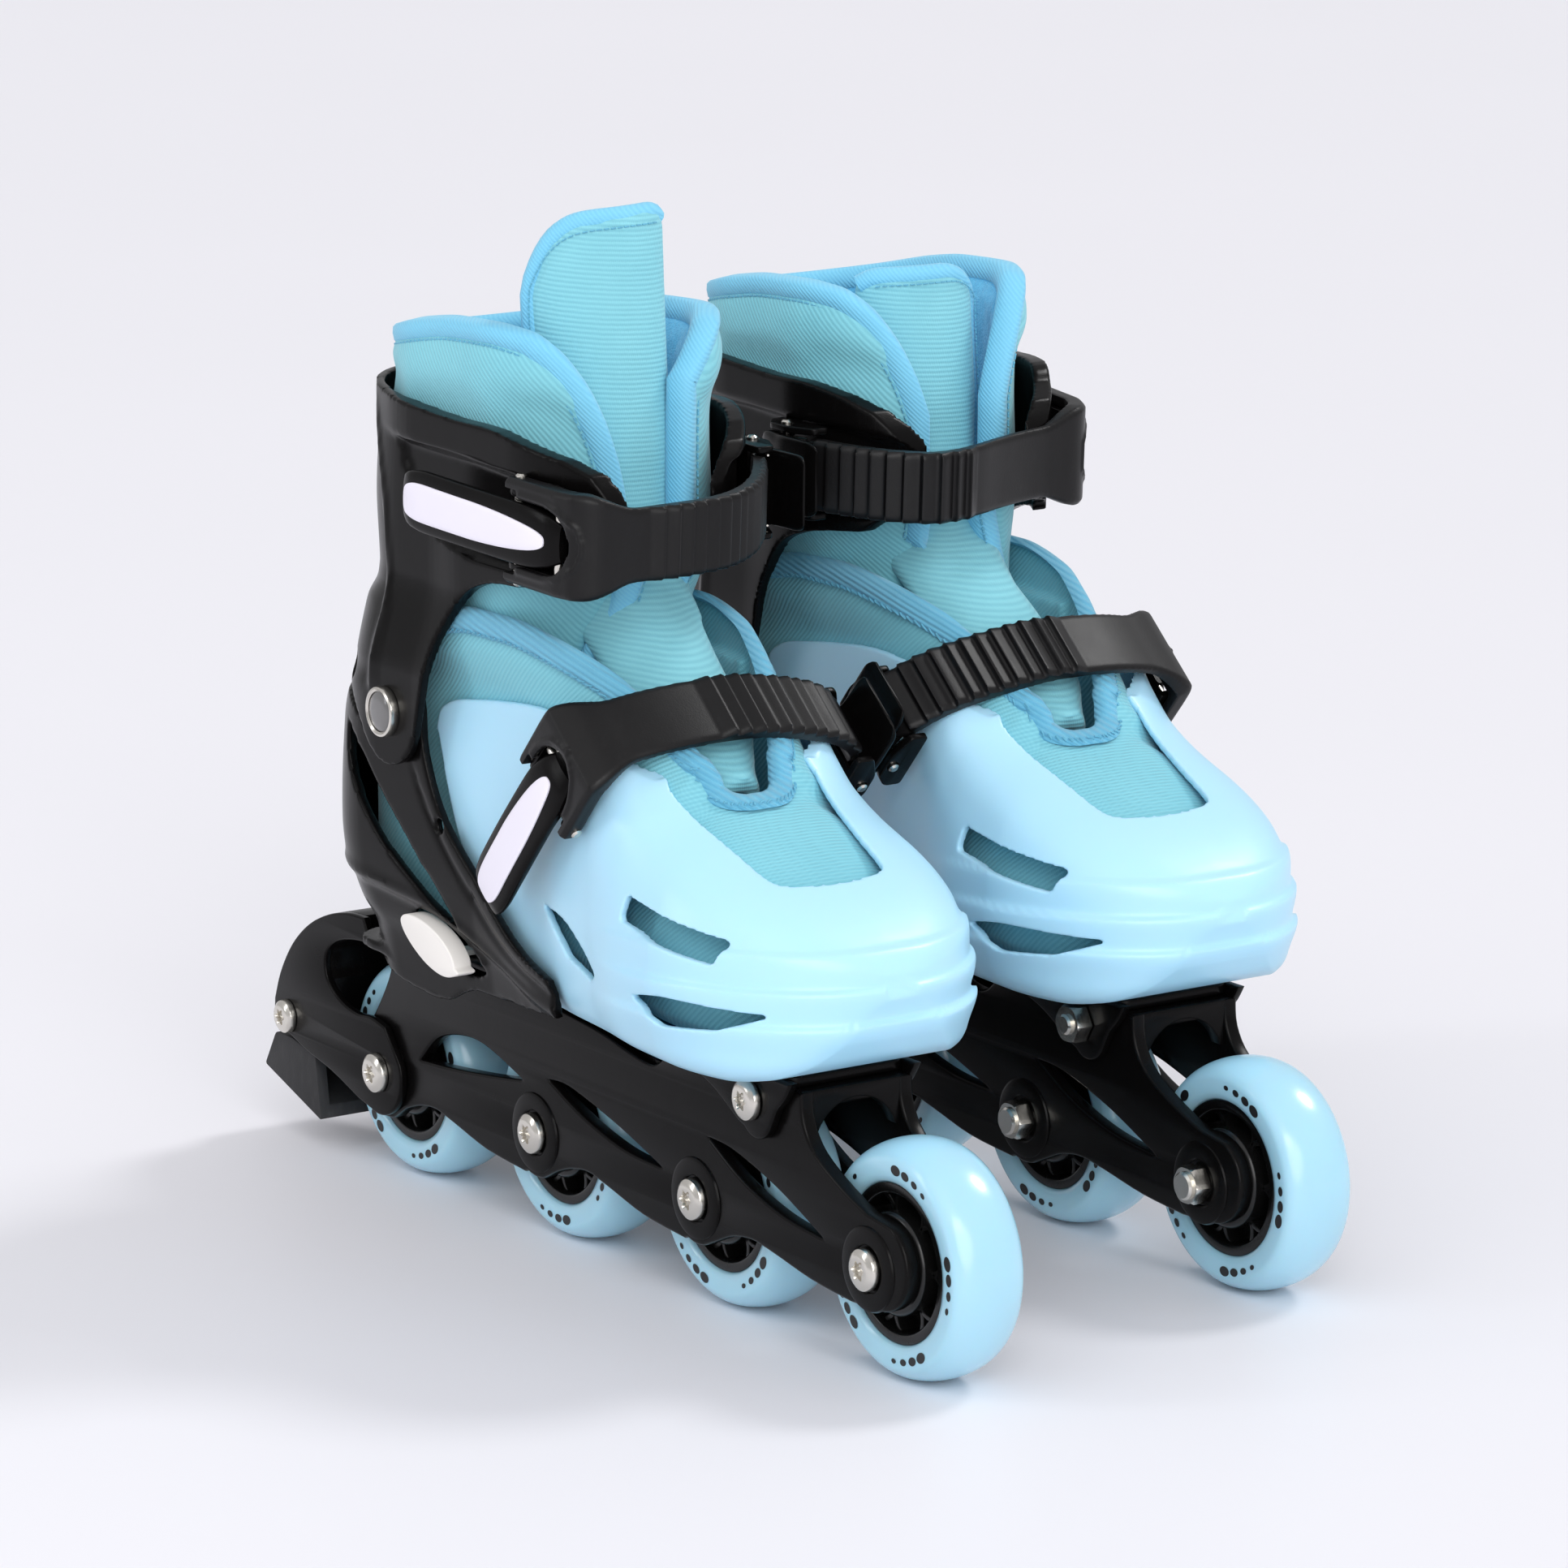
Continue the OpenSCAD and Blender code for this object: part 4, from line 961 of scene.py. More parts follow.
def cuff_grid(t, side, relief):
    """Wall points of the cuff at depth t, level by level."""
    rows = []
    for z in np.linspace(128, 246, 86):
        c = smooth(z, [(128, 36.3), (152, 36.3), (165, 37.3), (174, 37.5), (181, 40.5), (202, 40.5),
                       (223, 43), (246, 45)])
        a = smooth(z, [(128, 42), (165, 43), (174, 43), (181, 42.5), (202, 45), (223, 46), (246, 46)]) - t
        b = smooth(z, [(128, 42.2), (160, 42), (185, 39), (246, 39.2)]) - t
        yc = UPPER_SHIFT * smooth(z, [(160, 0), (185, 1)])
        outer = (100, 55 - t, 44) if side == "right" else (78, 46 - t, 56)
        p, n = leg_plan(c, yc, a, b, outer, (78, 42 - t, 62))
        d = relief(p[:, 0], p[:, 1], z) if relief else np.zeros(len(p))
        rows.append(np.concatenate([p + n * d[:, None], np.full((len(p), 1), z)], 1))
    return np.array(rows)


def cuff_edges(side):
    """Side-view outlines of the outer and the inner half of the cuff."""
    low = spline([(-20, 153), (0, 153), (14, 151), (25, 144), (33, 136)], 6)
    lobe = arc(PIVOT, 15, 240, 350, 14)
    front = spline([(62, 160), (66, 172), (75, 184), (88, 189.5), (104, 191)], 6)
    top = [(70, 232.5), (45, 234), (20, 235.5), (-20, 236)]
    k = CUFF_TIP[side]
    tip = spline([(122 + k, 193), (131 + k, 198), (134 + k, 208), (133.5 + k, 217), (129 + k, 224)], 6)
    outer = low + lobe + front + tip + spline([(121 + k, 227.5), (95, 232)] + top, 6)
    inner = (low + lobe + front + spline([(106, 193), (112, 199), (114, 208), (112, 218), (107, 225)], 6)
             + spline([(100, 229), (88, 232)] + top, 6))
    return outer, inner


def cuff(side):
    """Hinged cuff: two halves of one wall with their own edges, its relief lines and rear holes."""
    def relief(x, y, z):
        out = y < UPPER_SHIFT
        bar = np.interp(x - CUFF_TIP[side], [20, 45, 80, 118, 137], [226, 223, 222, 220, 214])
        lip = 2.4 * step(z, bar - 1.3, bar + 1.3) * step(x, 28, 52)
        sill_line = np.interp(x, [48, 62, 80, 110], [204, 199, 196, 195.5])
        sill = 1.4 * step(sill_line - z, -1.2, 1.2) * step(x, 55, 75)
        left = np.interp(z, [196, 208, 224], [64, 48, 42])
        dish = -1.3 * step(x, left - 1.2, left + 1.4) * step(bar - z, -1, 1) * step(z - sill_line, -1, 1)
        crease = np.interp(z, [150, 175, 205, 235], [33, 35, 31, 22])
        rear = -1.5 * step(crease - x, 0, 2.4) * step(z, 150, 158) * step(239 - z, 0, 14)
        ridge = 0.7 * np.exp(-((x - crease - 1.5) / 1.6) ** 2) * step(z, 150, 158) * step(236 - z, 0, 12)
        return lip + sill + dish * out + rear + ridge

    body = shell("cuff", cuff_grid(0, side, relief), cuff_grid(2.8, side, None))
    outer, inner = cuff_edges(side)
    halves = []
    for outline, y0, y1 in ((outer, -BEYOND, 0.5), (inner, 0.5, BEYOND)):
        halves.append(carve(duplicate(body), [prism(outline, y0, y1)], "INTERSECT"))
    bpy.data.objects.remove(body)
    holes = (oval((9, 164), 2.6, 6, 12), oval((16, 156), 2.4, 4.2, 20))
    for half, s in zip(halves, (-1, 1)):
        carve(half, [prism(hole, s * 10, s * BEYOND) for hole in holes])
    return melt(join(halves), 0.62, 4, 0.35)


def ankle_rivets():
    """Grey caps of the ankle rivets and the steel rings round them."""
    at = (PIVOT[0], 0, PIVOT[1])
    caps, rings = [], []
    for s in (-1, 1):
        cap = [(5.6, s * 42.0), (5.6, s * 44.1), (4.9, s * 44.6), (3, s * 44.9)]
        ring = [(5.7, s * 42.2), (7.0, s * 42.2), (7.2, s * 43.6), (6.9, s * 44.6), (6.3, s * 44.9),
                (5.7, s * 44.4)]
        caps.append(lathe(disc_profile(cap), at, steps=48))
        rings.append(lathe(ring, at, steps=56))
    return join(caps), join(rings)


def cuffs():
    for side in SIDES:
        place(cuff(side), side, "cuff_moulding", "upper", BLACK, "black", ("cuff",), 60)
    caps, rings = ankle_rivets()
    place_pair(caps, "rivet_caps", "chassis", RIVET, "black")
    place_pair(rings, "rivet_rings", "chassis", STEEL, "steel")


# ---- toe shell ------------------------------------------------------------------------

TOE_FRONT = 228.5
TOE_BEND = 180.0        # where the flanks end and the round nose begins
TOE_HALF = 46.0
TOE_ARCH = spline([(0.8, 0), (0.9, 0.05), (0.965, 0.14), (1, 0.3), (1, 0.45), (0.975, 0.62), (0.93, 0.74),
                   (0.85, 0.85), (0.7, 0.93), (0.45, 0.98), (0, 1)], 9)


def toe_half(x):
    """Half width of the toe shell."""
    side = smooth(x, [(50, 33), (80, 33.2), (92, 33.8), (104, 34.8), (112, 35.9), (120, 37.4), (130, 38.8),
                      (140, 40.4), (150, 42.6), (160, 44.4), (TOE_BEND, TOE_HALF)])
    nose = TOE_HALF * np.sqrt(np.clip(1 - ((x - TOE_BEND) / (TOE_FRONT - TOE_BEND)) ** 2, 0.0004, 1))
    return np.where(x < TOE_BEND, side, nose)


def toe_ring(x, t, back=0.0):
    """Cross section of the toe shell at x, t under its face and moved back by so much."""
    top = smooth(x, [(50, 190), (100, 190), (120, 182), (138, 172), (147, 157), (155, 146.5), (165, 139.5),
                     (178, 133.5), (190, 128.5), (200, 124.5), (210, 120), (218, 115.5), (224, 111),
                     (TOE_FRONT, 105)])
    low = smooth(x, [(50, 75.4), (198, 75.4), (210, 77), (218, 80.5), (224, 87), (TOE_FRONT, 100)])
    w = max(0.4, float(toe_half(np.array(x))) - t)
    low, top = low + t, max(low + t + 0.4, top - t)
    ring = []
    arch = [(-a, b) for a, b in TOE_ARCH] + [(a, b) for a, b in TOE_ARCH[-2::-1]]
    for a, b in arch:
        z = low + (top - low) * b
        y = w * a
        d = toe_relief(x, z)
        nx = max(0.0, x - TOE_BEND) / (TOE_FRONT - TOE_BEND) ** 2
        ny = abs(y) / TOE_HALF ** 2
        size = math.hypot(nx, ny) + 1e-9
        ring.append((x - back + d * nx / size, y + math.copysign(d * ny / size, y), z))
    return ring


def toe_relief(x, z):
    """Stepped bands round the toe cap, fading out along the flanks."""
    fade = float(step(x, 140, 190))
    line = z - 4.0 * float(step(x, 130, 205)) + 4.0
    bands = sum(1.5 * float(step(edge - line, -0.3, 1.0)) * float(step(line, edge - 9.5, edge - 0.5))
                for edge in (112, 102.5, 93))
    return bands * fade


def toe_shell():
    """Shell with the instep opening, the window over the toes and three vents on each flank."""
    nose = TOE_BEND + 48.2 * np.sin(np.linspace(0, math.pi / 2, 48))[1:]
    spots = np.concatenate([np.linspace(50, TOE_BEND, 66), nose])
    outer = loft("toe", [toe_ring(x, 0) for x in spots])
    hollow = loft("hollow", [toe_ring(x, 2.3, 2.4 * float(step(x, 195, 222)))
                             for x in np.concatenate([[44], spots[1:-1]])])
    upper_line = [(53, 143), (55, 149), (61, 152.3), (70, 154), (84, 156), (104, 158), (122, 157.6),
                  (134, 155.5), (143, 151.8), (150, 147.6)]
    upper = [(30, 200), (30, 143)] + spline(upper_line, 6) + [(153, 145.5), (153, 200)]
    rear = [(20, 60), (80, 60), (80, 93)] + spline([(74, 101), (63, 120), (54, 143)], 5) + [(20, 143)]
    window = (spline([(120, -19), (140, -20.5), (150, -21.5), (156, -23)], 5)
              + spline([(164, -21.8), (180, -19.6), (192, -18.2), (197, -16), (199.5, -9), (200.5, 0),
                        (199.5, 9), (197, 16), (192, 18.2), (180, 19.6), (164, 21.8)], 4)
              + spline([(156, 23), (150, 21.5), (140, 20.5), (120, 19)], 5))
    vent = rounded([(163, 112.5), (165, 119.5), (203.5, 113.6), (201.5, 107.6)], 1.6)
    fin = spline([(113, 106), (128, 104), (147, 94)], 8) + spline([(143, 91.5), (128, 94.5)], 6)
    smile = spline([(170, 94), (188, 97), (216, 95.8)], 8) + spline([(204, 91), (186, 89.2)], 6)
    vents = ((vent, 20), (rounded(fin, 1.5, 3), 28), (rounded(smile, 1.2, 3), 20))
    tools = [prism(upper), prism(rear), slab(window, 108, 190)]
    tools += [prism(outline, s * inside, s * BEYOND) for s in (-1, 1) for outline, inside in vents]
    carve(outer, [hollow] + tools)
    return melt(outer, 0.45, 9, 0.14)


def toe_rack():
    """Toothed bar that the size button catches."""
    low, high = 77.9, 79.5
    parts = [round_edges(slab([(42, -29.8), (100, -29.8), (100, -26.3), (42, -26.3)], low, high), 0.3)]
    for x in range(46, 86, 5):
        tooth = [(x, -26.4), (x + 2.6, -23.6), (x + 3.4, -23.6), (x + 3.4, -26.4)]
        parts.append(slab(tooth, low, high))
    return join(parts)


def toes():
    place_pair(toe_shell(), "toe_cap", "toe", PALE, "pale_blue", ("toe_shell",), 60)
    place_pair(toe_rack(), "size_rack", "toe", BLACK, "black", ("toe_rack",))


# ---- liner ----------------------------------------------------------------------------


def vamp_top(x):
    """Height of the instep's edge."""
    return smooth(x, [(20, 168), (55, 174.5), (75, 177.3), (90, 177.3), (110, 174.5), (127, 169),
                      (140, 161), (150, 152.5), (157, 145.5), (161, 139)])


def throat_width(x):
    """Half width of the instep opening, ending in a round front at x = 162."""
    side = smooth(x, [(20, 30), (60, 32), (90, 31.5), (112, 29), (127, 24.5), (140, 19.5), (150, 14.5),
                      (156, 11)])
    front = 11 * np.sqrt(np.clip(1 - ((x - 154) / 8) ** 2, 0, 1))
    return np.where(x < 154, side, np.minimum(side, front))


def flank_width(x):
    """Half width of the liner at its widest height."""
    return smooth(x, [(-9, 0.5), (-6, 10), (2, 20), (14, 26.5), (30, 28.6), (60, 29), (90, 29.4),
                      (120, 30.8), (135, 32.8), (150, 35), (172, 37.6), (190, 34.8), (204, 26.5), (212, 16),
                      (215.5, 0.5)])


def foot_section(x, t):
    """Half cross section [y, z] of the liner at x, from the middle of the sole to the crown."""
    w = max(0.3, float(flank_width(x)) - t)
    base = 82 + t
    if x >= 158:
        top = float(smooth(x, [(158, 143), (161, 139.8), (175, 133), (190, 125), (204, 115), (212, 107),
                               (215.5, 100)])) - t
    else:
        top = float(vamp_top(x)) + 0.8 - t
    top = max(base + 0.5, top)
    rim = min(float(throat_width(x)) + 1.4 - t, 34 - t)
    if rim > w:
        rim = w + (rim - w) * float(step(x, 24, 56))
    full = 1.2 - 0.6 * float(step(x, 150, 168))
    out = [(w * a, base + (top - base) * b) for a, b in ((0.02, 0), (0.55, 0), (0.84, 0.03), (0.96, 0.12))]
    for q in np.linspace(0, 1, 13):
        z = base + (top - base) * (0.26 + 0.74 * math.sin(q * math.pi / 2))
        if rim < w:
            y = max(0.2, rim) + (w - max(0.2, rim)) * math.cos(q * math.pi / 2) ** full
        else:
            y = w + (rim - w) * float(step(z, 157, 168))
        out.append((y, z))
    last = out[-1][0]
    crown = min(1.0, last / 12)
    return out + [(last * 0.55, top + 0.7 * crown), (0.02, top + 0.9 * crown)]


def liner_foot():
    """Hollow sock round the foot, open over the instep and behind the heel."""
    xs = np.concatenate([-9 + 19 * np.linspace(0, 1, 16) ** 1.6, np.linspace(14, 190, 60),
                         215.4 - 23 * np.linspace(1, 0, 22) ** 1.6])
    walls = []
    for t in (0.0, 4.2):
        rings = []
        for x in xs[2:-2] if t else xs:
            half = foot_section(float(x), t)
            rings.append([(x, -y, z) for y, z in half[::-1]] + [(x, y, z) for y, z in half])
        walls.append(loft("liner", rings))
    outer, hollow = walls
    side_view = ([(-30, 60), (230, 60), (230, 200), (8, 200), (6, 172)]
                 + spline([(2, 166), (-1, 156), (-5, 146), (-9, 132), (-12, 120)], 5) + [(-30, 120)])
    carve(outer, [prism(side_view)], "INTERSECT")
    xs = np.linspace(20, 154, 40)
    nose = 154 + 8 * np.sin(np.linspace(0, math.pi / 2, 14))[1:]
    xs = np.concatenate([xs, nose])
    edge = [(x, -float(throat_width(x))) for x in xs]
    edge += [(x, -y) for x, y in edge[-2::-1]]
    front = [p for p in edge if p[0] >= 116]
    carve(outer, [hollow, slab([(-20, -31)] + edge + [(-20, 31)], 166, 210), slab(front, 120, 210)])
    return melt(outer, 1.0, 6, 0.5)


def rim_point(x):
    """Half width and height of the liner at the edge of the instep opening."""
    return foot_section(float(x), 0)[-3]


def vamp_binding():
    """Twill tape rolled over the edge of the instep opening, with its braided stitches."""
    xs = np.concatenate([np.linspace(48, 150, 42), 150 + 11.9 * np.sin(np.linspace(0.1, math.pi / 2, 16))])
    outer = [(x, 0.8 - rim_point(x)[0], rim_point(x)[1]) for x in xs]
    path = outer + [(x, -y, z) for x, y, z in outer[-2::-1]]
    lean = [(0.25 * float(step(p[0], 110, 150)), 1.6 * p[1] / 31, 1.0 * float(step(p[0], 96, 150)) + 0.25)
            for p in path]
    section = [(1.5, -2.6), (2.2, -1.2), (2.1, 0.2), (1.2, 1.3), (-1.0, 1.7), (-3.2, 1.5), (-5.0, 0.7),
               (-5.2, -0.6), (-3.4, -0.4), (-0.6, 0.0), (0.4, -1.2), (0.6, -2.4)]
    tape = sweep(path, [(-a, b) for a, b in section], up=lambda i: lean[i])
    stitches = []
    points = [Vector(p) for p in path]
    for i in range(2, len(path) - 3):
        p, q = points[i], points[i + 1]
        along = q - p
        up = Vector(lean[i]).normalized()
        out = up.cross(along).normalized()
        pieces = max(1, round(along.length / 2.6))
        for k in range(pieces):
            a = p + along * (k / pieces) + out * -5.0 + up * 0.7
            b = p + along * ((k + 0.8) / pieces) + out * -4.2 + up * 1.2
            stitches.append(tube([a, (a + b) / 2 + up * 0.3, b], 0.34, 5, up=tuple(up)))
    return tape, join(stitches)


def collar_plan(z, t, side):
    """Plan of the collar and its normals at height z, t under its outer face."""
    b = smooth(z, [(165, 29.4), (178, 30.6), (192, 34.2), (204, 35.3), (225, 35.4), (240, 35.8),
                   (262, 37)]) - t
    a = smooth(z, [(165, 37), (182, 39.6), (200, 40.4), (225, 41), (246, 38), (262, 36)]) - t
    c = smooth(z, [(165, 41), (178, 41), (225, 42.5), (246, 47), (262, 48)])
    sweep_back = 30 * (1 - float(step(z, 158, 198)))
    outer = (78, 34 - t, 74 - sweep_back) if side == "right" else (75, 33 - t, 72 - sweep_back)
    return leg_plan(c, UPPER_SHIFT * float(step(z, 168, 200)), a, b, outer, (74, 34 - t, 74 - sweep_back))


def collar_top(x):
    """Height of the collar's rim."""
    return smooth(x, [(-6, 247), (20, 251.5), (45, 256), (64, 258), (84, 258.5), (95, 257), (101.5, 252.5),
                      (106, 244.5), (108.6, 235), (110.2, 222), (110.8, 212)])


def collar_station(side, j):
    """Point of station j of the collar's plan at buckle height, and its rim height."""
    p = collar_plan(215, 0, side)[0][j]
    return p, float(collar_top(p[0] + (0 if side == "right" else 3.5)))


def collar(side):
    """Padded collar: a closed section that follows the leg, with soft rounded edges."""
    stations = len(collar_plan(200, 0, side)[0])
    rings = []
    levels = np.concatenate([[0, 0.03], np.linspace(0.08, 0.86, 14), [0.91, 0.95, 0.98, 1.0]])
    for j in range(stations):
        (x_here, _), top = collar_station(side, j)
        bottom = float(smooth(x_here, [(0, 172), (70, 165), (95, 160), (112, 159)]))
        edge = min(j, stations - 1 - j) / 4
        soft = math.sqrt(1 - (1 - min(edge, 1)) ** 2) if edge < 1 else 1.0
        outer, inner = [], []
        for k in levels:
            z = bottom + (top - bottom) * k
            p, n = collar_plan(z, 0, side)
            over = 1.9 * float(step(z, 234, 245)) * (1 - float(step(k, 0.90, 1.0)))
            rim = math.sqrt(max(0.0, 1 - max(0.0, (k - 0.9) / 0.1) ** 2))
            thick = 2.6 + 5.0 * rim * (0.3 + 0.7 * soft)
            outer.append((*(p[j] + n[j] * (over - 0.4 - 1.4 * (1 - soft) - 1.2 * (1 - rim))), z))
            inner.append((*(p[j] - n[j] * thick), z))
        rings.append(outer + inner[::-1])
    return loft("collar", rings)


def collar_rim(side):
    """Points and outward normals along the front and top edges of the collar, front to front."""
    stations = len(collar_plan(200, 0, side)[0])
    tops = [collar_station(side, j)[1] for j in range(stations)]
    foot = 161
    stops = [(0, z) for z in np.linspace(foot, tops[0], 13)[:-1]]
    stops += list(enumerate(tops))
    stops += [(-1, z) for z in np.linspace(tops[-1], foot, 13)[1:]]
    points, normals = [], []
    for j, z in stops:
        p, n = collar_plan(z, 0, side)
        points.append(Vector((*p[j], z)))
        normals.append(Vector((*n[j], 0)))
    return points, normals


def collar_binding(side):
    """Wide binding folded over the rim of the collar, and the seam along its lower edge."""
    points, normals = collar_rim(side)
    count = len(points)
    rings, seam = [], []
    for i in range(count):
        along = (points[min(i + 1, count - 1)] - points[max(i - 1, 0)]).normalized()
        n = normals[i]
        d = n.cross(along).normalized()
        if i < count / 2 and d.z > 0 or d.z > 0.2:
            d = -d
        drop = 0.9 * abs(along.z)
        wide = 0.62 + 0.2 * abs(along.z)
        section = ((0.2 - drop, 7.4), (0.9 - drop * 0.7, 6.4), (1.2, 3.4), (1.1, 0.8), (0.3, -0.5),
                   (-1.4, -1.1), (-3.6, -1.1), (-5.8, -0.4), (-6.9, 1.6), (-7.1, 4.5), (-5.6, 5.6),
                   (-2.0, 6.6))
        rings.append([points[i] + n * a + d * b * (wide if a > -2 else 1) for a, b in section])
        seam.append(points[i] + n * (0.75 - drop) + d * (8.0 * wide))
    return loft("binding", rings), stitch_row(seam, 2.4, 0.32)


def stitch_row(line, pitch, r):
    """Short stitches along a line, a pitch apart."""
    lengths = travelled(line)
    xyz = np.array([tuple(p) for p in line])
    stitches = []
    for s in np.arange(0, lengths[-1] - pitch, pitch):
        a, b = [Vector([float(np.interp(q, lengths, xyz[:, k])) for k in range(3)])
                for q in (s, s + 0.72 * pitch)]
        stitches.append(tube([a, (a + b) / 2, b], r, 5, up=(0.3, 0.2, 1)))
    return join(stitches)


# Lower part of the tongue's middle line, shared by both skates.
TONGUE_LINE = [(157, 143.5), (150, 149), (140, 158.5), (127, 170), (116, 179.5), (108, 189), (103.8, 199)]


def tongue_frame(side, v):
    """Middle point [x, z], unit normal [x, z], bend radius and end angles of the tongue at v."""
    tall = side == "right"
    back = 0 if tall else 5
    upper = [(102, 212), (102, 225), (100.5, 245)] + ([(98.5, 268), (97, 289)] if tall else [(99.5, 261)])
    line = spline([(x - back * min(1, max(0, (z - 165) / 30)), z) for x, z in TONGUE_LINE + upper], 8)
    lengths = travelled(line)
    s = v * lengths[-1]
    (x1, z1), (x, z), (x2, z2) = [[float(np.interp(q, lengths, [p[k] for p in line])) for k in (0, 1)]
                                  for q in (s - 1.5, s, s + 1.5)]
    d = np.array([x2 - x1, z2 - z1])
    d /= np.linalg.norm(d)
    normal = np.array([d[1], -d[0]])
    grown = float(step(z, 150, 205))
    radius = 22 + ((30 if tall else 28) - 22) * grown
    low, high = (-56, 30) if tall else (-42, 50)
    return (x, z), normal, radius, -48 + (low + 48) * grown, 48 + (high - 48) * grown


def tongue_point(side, u, v, t):
    """Point of the tongue at u across, from -1 to 1, and v along; t is the depth under its face."""
    (x, z), normal, radius, low, high = tongue_frame(side, v)
    angle = math.radians(low + (high - low) * (u + 1) / 2)
    r = radius - t
    shift = UPPER_SHIFT * float(step(z, 150, 190))
    depth = radius - r * math.cos(angle)
    nose = float(step(0.12 - v, 0, 0.12))
    y = shift + r * math.sin(angle) * (1 - 0.45 * nose)
    point = np.array([x - normal[0] * depth, y, z - normal[1] * depth])
    if side == "right":
        drop = 19 * max(0.0, (0.15 - u) / 1.15) ** 4.2 + 4 * max(0.0, (u - 0.7) / 0.3) ** 3 + 0.8 * (1 - u)
    else:
        drop = 7 * max(0.0, (-0.3 - u) / 0.7) ** 2 + 3 * max(0.0, (u - 0.6) / 0.4) ** 2
    point[2] -= drop * float(step(v, 0.62, 1.0))
    return point


def tongue(side):
    """Padded tongue with a puffed face and soft folds over the instep."""
    outer, inner = [], []
    for v in np.linspace(0, 1, 60):
        row_out, row_in = [], []
        for u in np.linspace(-1, 1, 29):
            puff = 1.3 * (1 - u ** 4) * math.sin(math.pi * min(1, 0.08 + v * 0.9)) ** 0.3
            fold = 0.5 * math.sin(5 * u + 26 * v) * math.exp(-((v - 0.42) / 0.12) ** 2)
            row_out.append(tongue_point(side, u, v, 0.8 - puff - fold))
            row_in.append(tongue_point(side, u, v, 6.5))
        outer.append(row_out)
        inner.append(row_in)
    obj = shell("tongue", np.array(outer), np.array(inner))
    return stuffed(obj, 2.0, lambda z: 1.3)


def tongue_binding(side):
    """Piping down the outer edge and over the top of the tongue, and its stitches."""
    def line(inset, depth):
        up = [(-1 + inset, v) for v in np.linspace(0.45, 1 - inset, 30)]
        over = [(u, 1 - inset * 0.5) for u in np.linspace(-0.93, 0.93, 26)]
        return [Vector(tongue_point(side, u, v, depth)) for u, v in up + over]
    return tube(line(0.02, 3.0), 2.9, 12, up=(1, 0.1, 0.3)), stitch_row(line(0.05, -0.4)[2:-2], 2.0, 0.24)


def assign_lining(obj, side, first, second):
    """Faces that look towards the leg take the second material."""
    mesh = obj.data
    centre = ORIGIN[side] + np.array([50, UPPER_SHIFT if side == "right" else -UPPER_SHIFT, 0]) * MM
    mesh.materials.clear()
    mesh.materials.append(first)
    mesh.materials.append(second)
    for face in mesh.polygons:
        away = (face.center[0] - centre[0]) * face.normal[0] + (face.center[1] - centre[1]) * face.normal[1]
        face.material_index = 1 if away < 0 else 0


def liners():
    place_pair(liner_foot(), "liner_sock", "chassis", VAMP, "fabric", ("liner_foot",), 70)
    tape, stitches = vamp_binding()
    place_pair(tape, "instep_binding", "chassis", TWILL, "fabric", angle=70)
    place_pair(stitches, "instep_stitches", "chassis", THREAD, "fabric")
    for side in SIDES:
        pad = stuffed(collar(side), 2.2, lambda z: 0.7 + 1.1 * float(step(z, 234, 244)))
        pad = place(pad, side, "collar_pad", FLEXING, COLLAR, "fabric", ("liner_collar",), 80)
        assign_lining(pad, side, COLLAR, LINING)
        band, seam = collar_binding(side)
        place(band, side, "collar_binding", FLEXING, BINDING, "fabric", angle=80)
        place(seam, side, "collar_seam", FLEXING, THREAD, "fabric")
        flap = place(tongue(side), side, "tongue_pad", FLEXING, TONGUE, "fabric", ("tongue",), 80)
        piping, seam = tongue_binding(side)
        place(piping, side, "tongue_piping", "upper", BINDING, "fabric", angle=80)
        place(seam, side, "tongue_seam", "upper", THREAD, "fabric")


# ---- buckles --------------------------------------------------------------------------


class Buckle:
    """A buckle's own frame: x along the strap to the front, y across it, z away from the foot."""

    def __init__(self, pin, tilt, turn=0.0, inner=False):
        t, u = math.radians(tilt), math.radians(turn)
        self.pin = np.array(pin, float)
        self.x = np.array([math.cos(t) * math.cos(u), math.cos(t) * math.sin(u), math.sin(t)])
        self.y = np.array([-math.sin(t) * math.cos(u), -math.sin(t) * math.sin(u), math.cos(t)])
        self.z = np.array([math.sin(u), -math.cos(u), 0.0])
        if inner:
            self.z[1] *= -1

    def at(self, x, y, z):
        return self.pin + self.x * x + self.y * y + self.z * z

    def put(self, obj):
        """Moves a mesh drawn in this frame into the skate's frame."""
        for v in obj.data.vertices:
            v.co = self.at(*v.co)
        return outward(obj)

    def into(self, p):
        """Plan point [x, y] of the skate as [x, z] of this frame."""
        d = np.array([p[0] - self.pin[0], p[1] - self.pin[1], 0.0])
        return np.array([d @ self.x, d @ self.z])


def ankle_buckle(side):
    if side == "right":
        return Buckle((110, -40.2, 208), -3, 4)
    return Buckle((88, -38.8, 209), -3, 7)


ANKLE_CATCH = Buckle((88, 49, 208), -1, 0, inner=True)
TOE_BUCKLE = Buckle((129.8, -42.8, 141), 48.7)
TOE_CATCH = Buckle((130.6, 49.3, 141), 48.7, 0, inner=True)
LEVER_NOSE = 2.2
LEVER_TOP = [(0, 3.2), (0.05, 4.4), (0.4, 5.0), (0.75, 4.5), (0.92, 3.4), (1, 1.6)]
CHEEK_Y = LEVER_W / 2 + 0.5
CHEEK_T = 2.0
FORK_Y = CHEEK_Y + CHEEK_T + 0.4
FORK_T = 3.0


def steel_pin(buckle, x, half):
    """Pin with domed ends across the strap."""
    profile = disc_profile([(1.0, -half - 0.5), (1.55, -half), (1.55, half), (1.0, half + 0.5)])
    return buckle.put(lathe(profile, (x, 0, 0), steps=28))


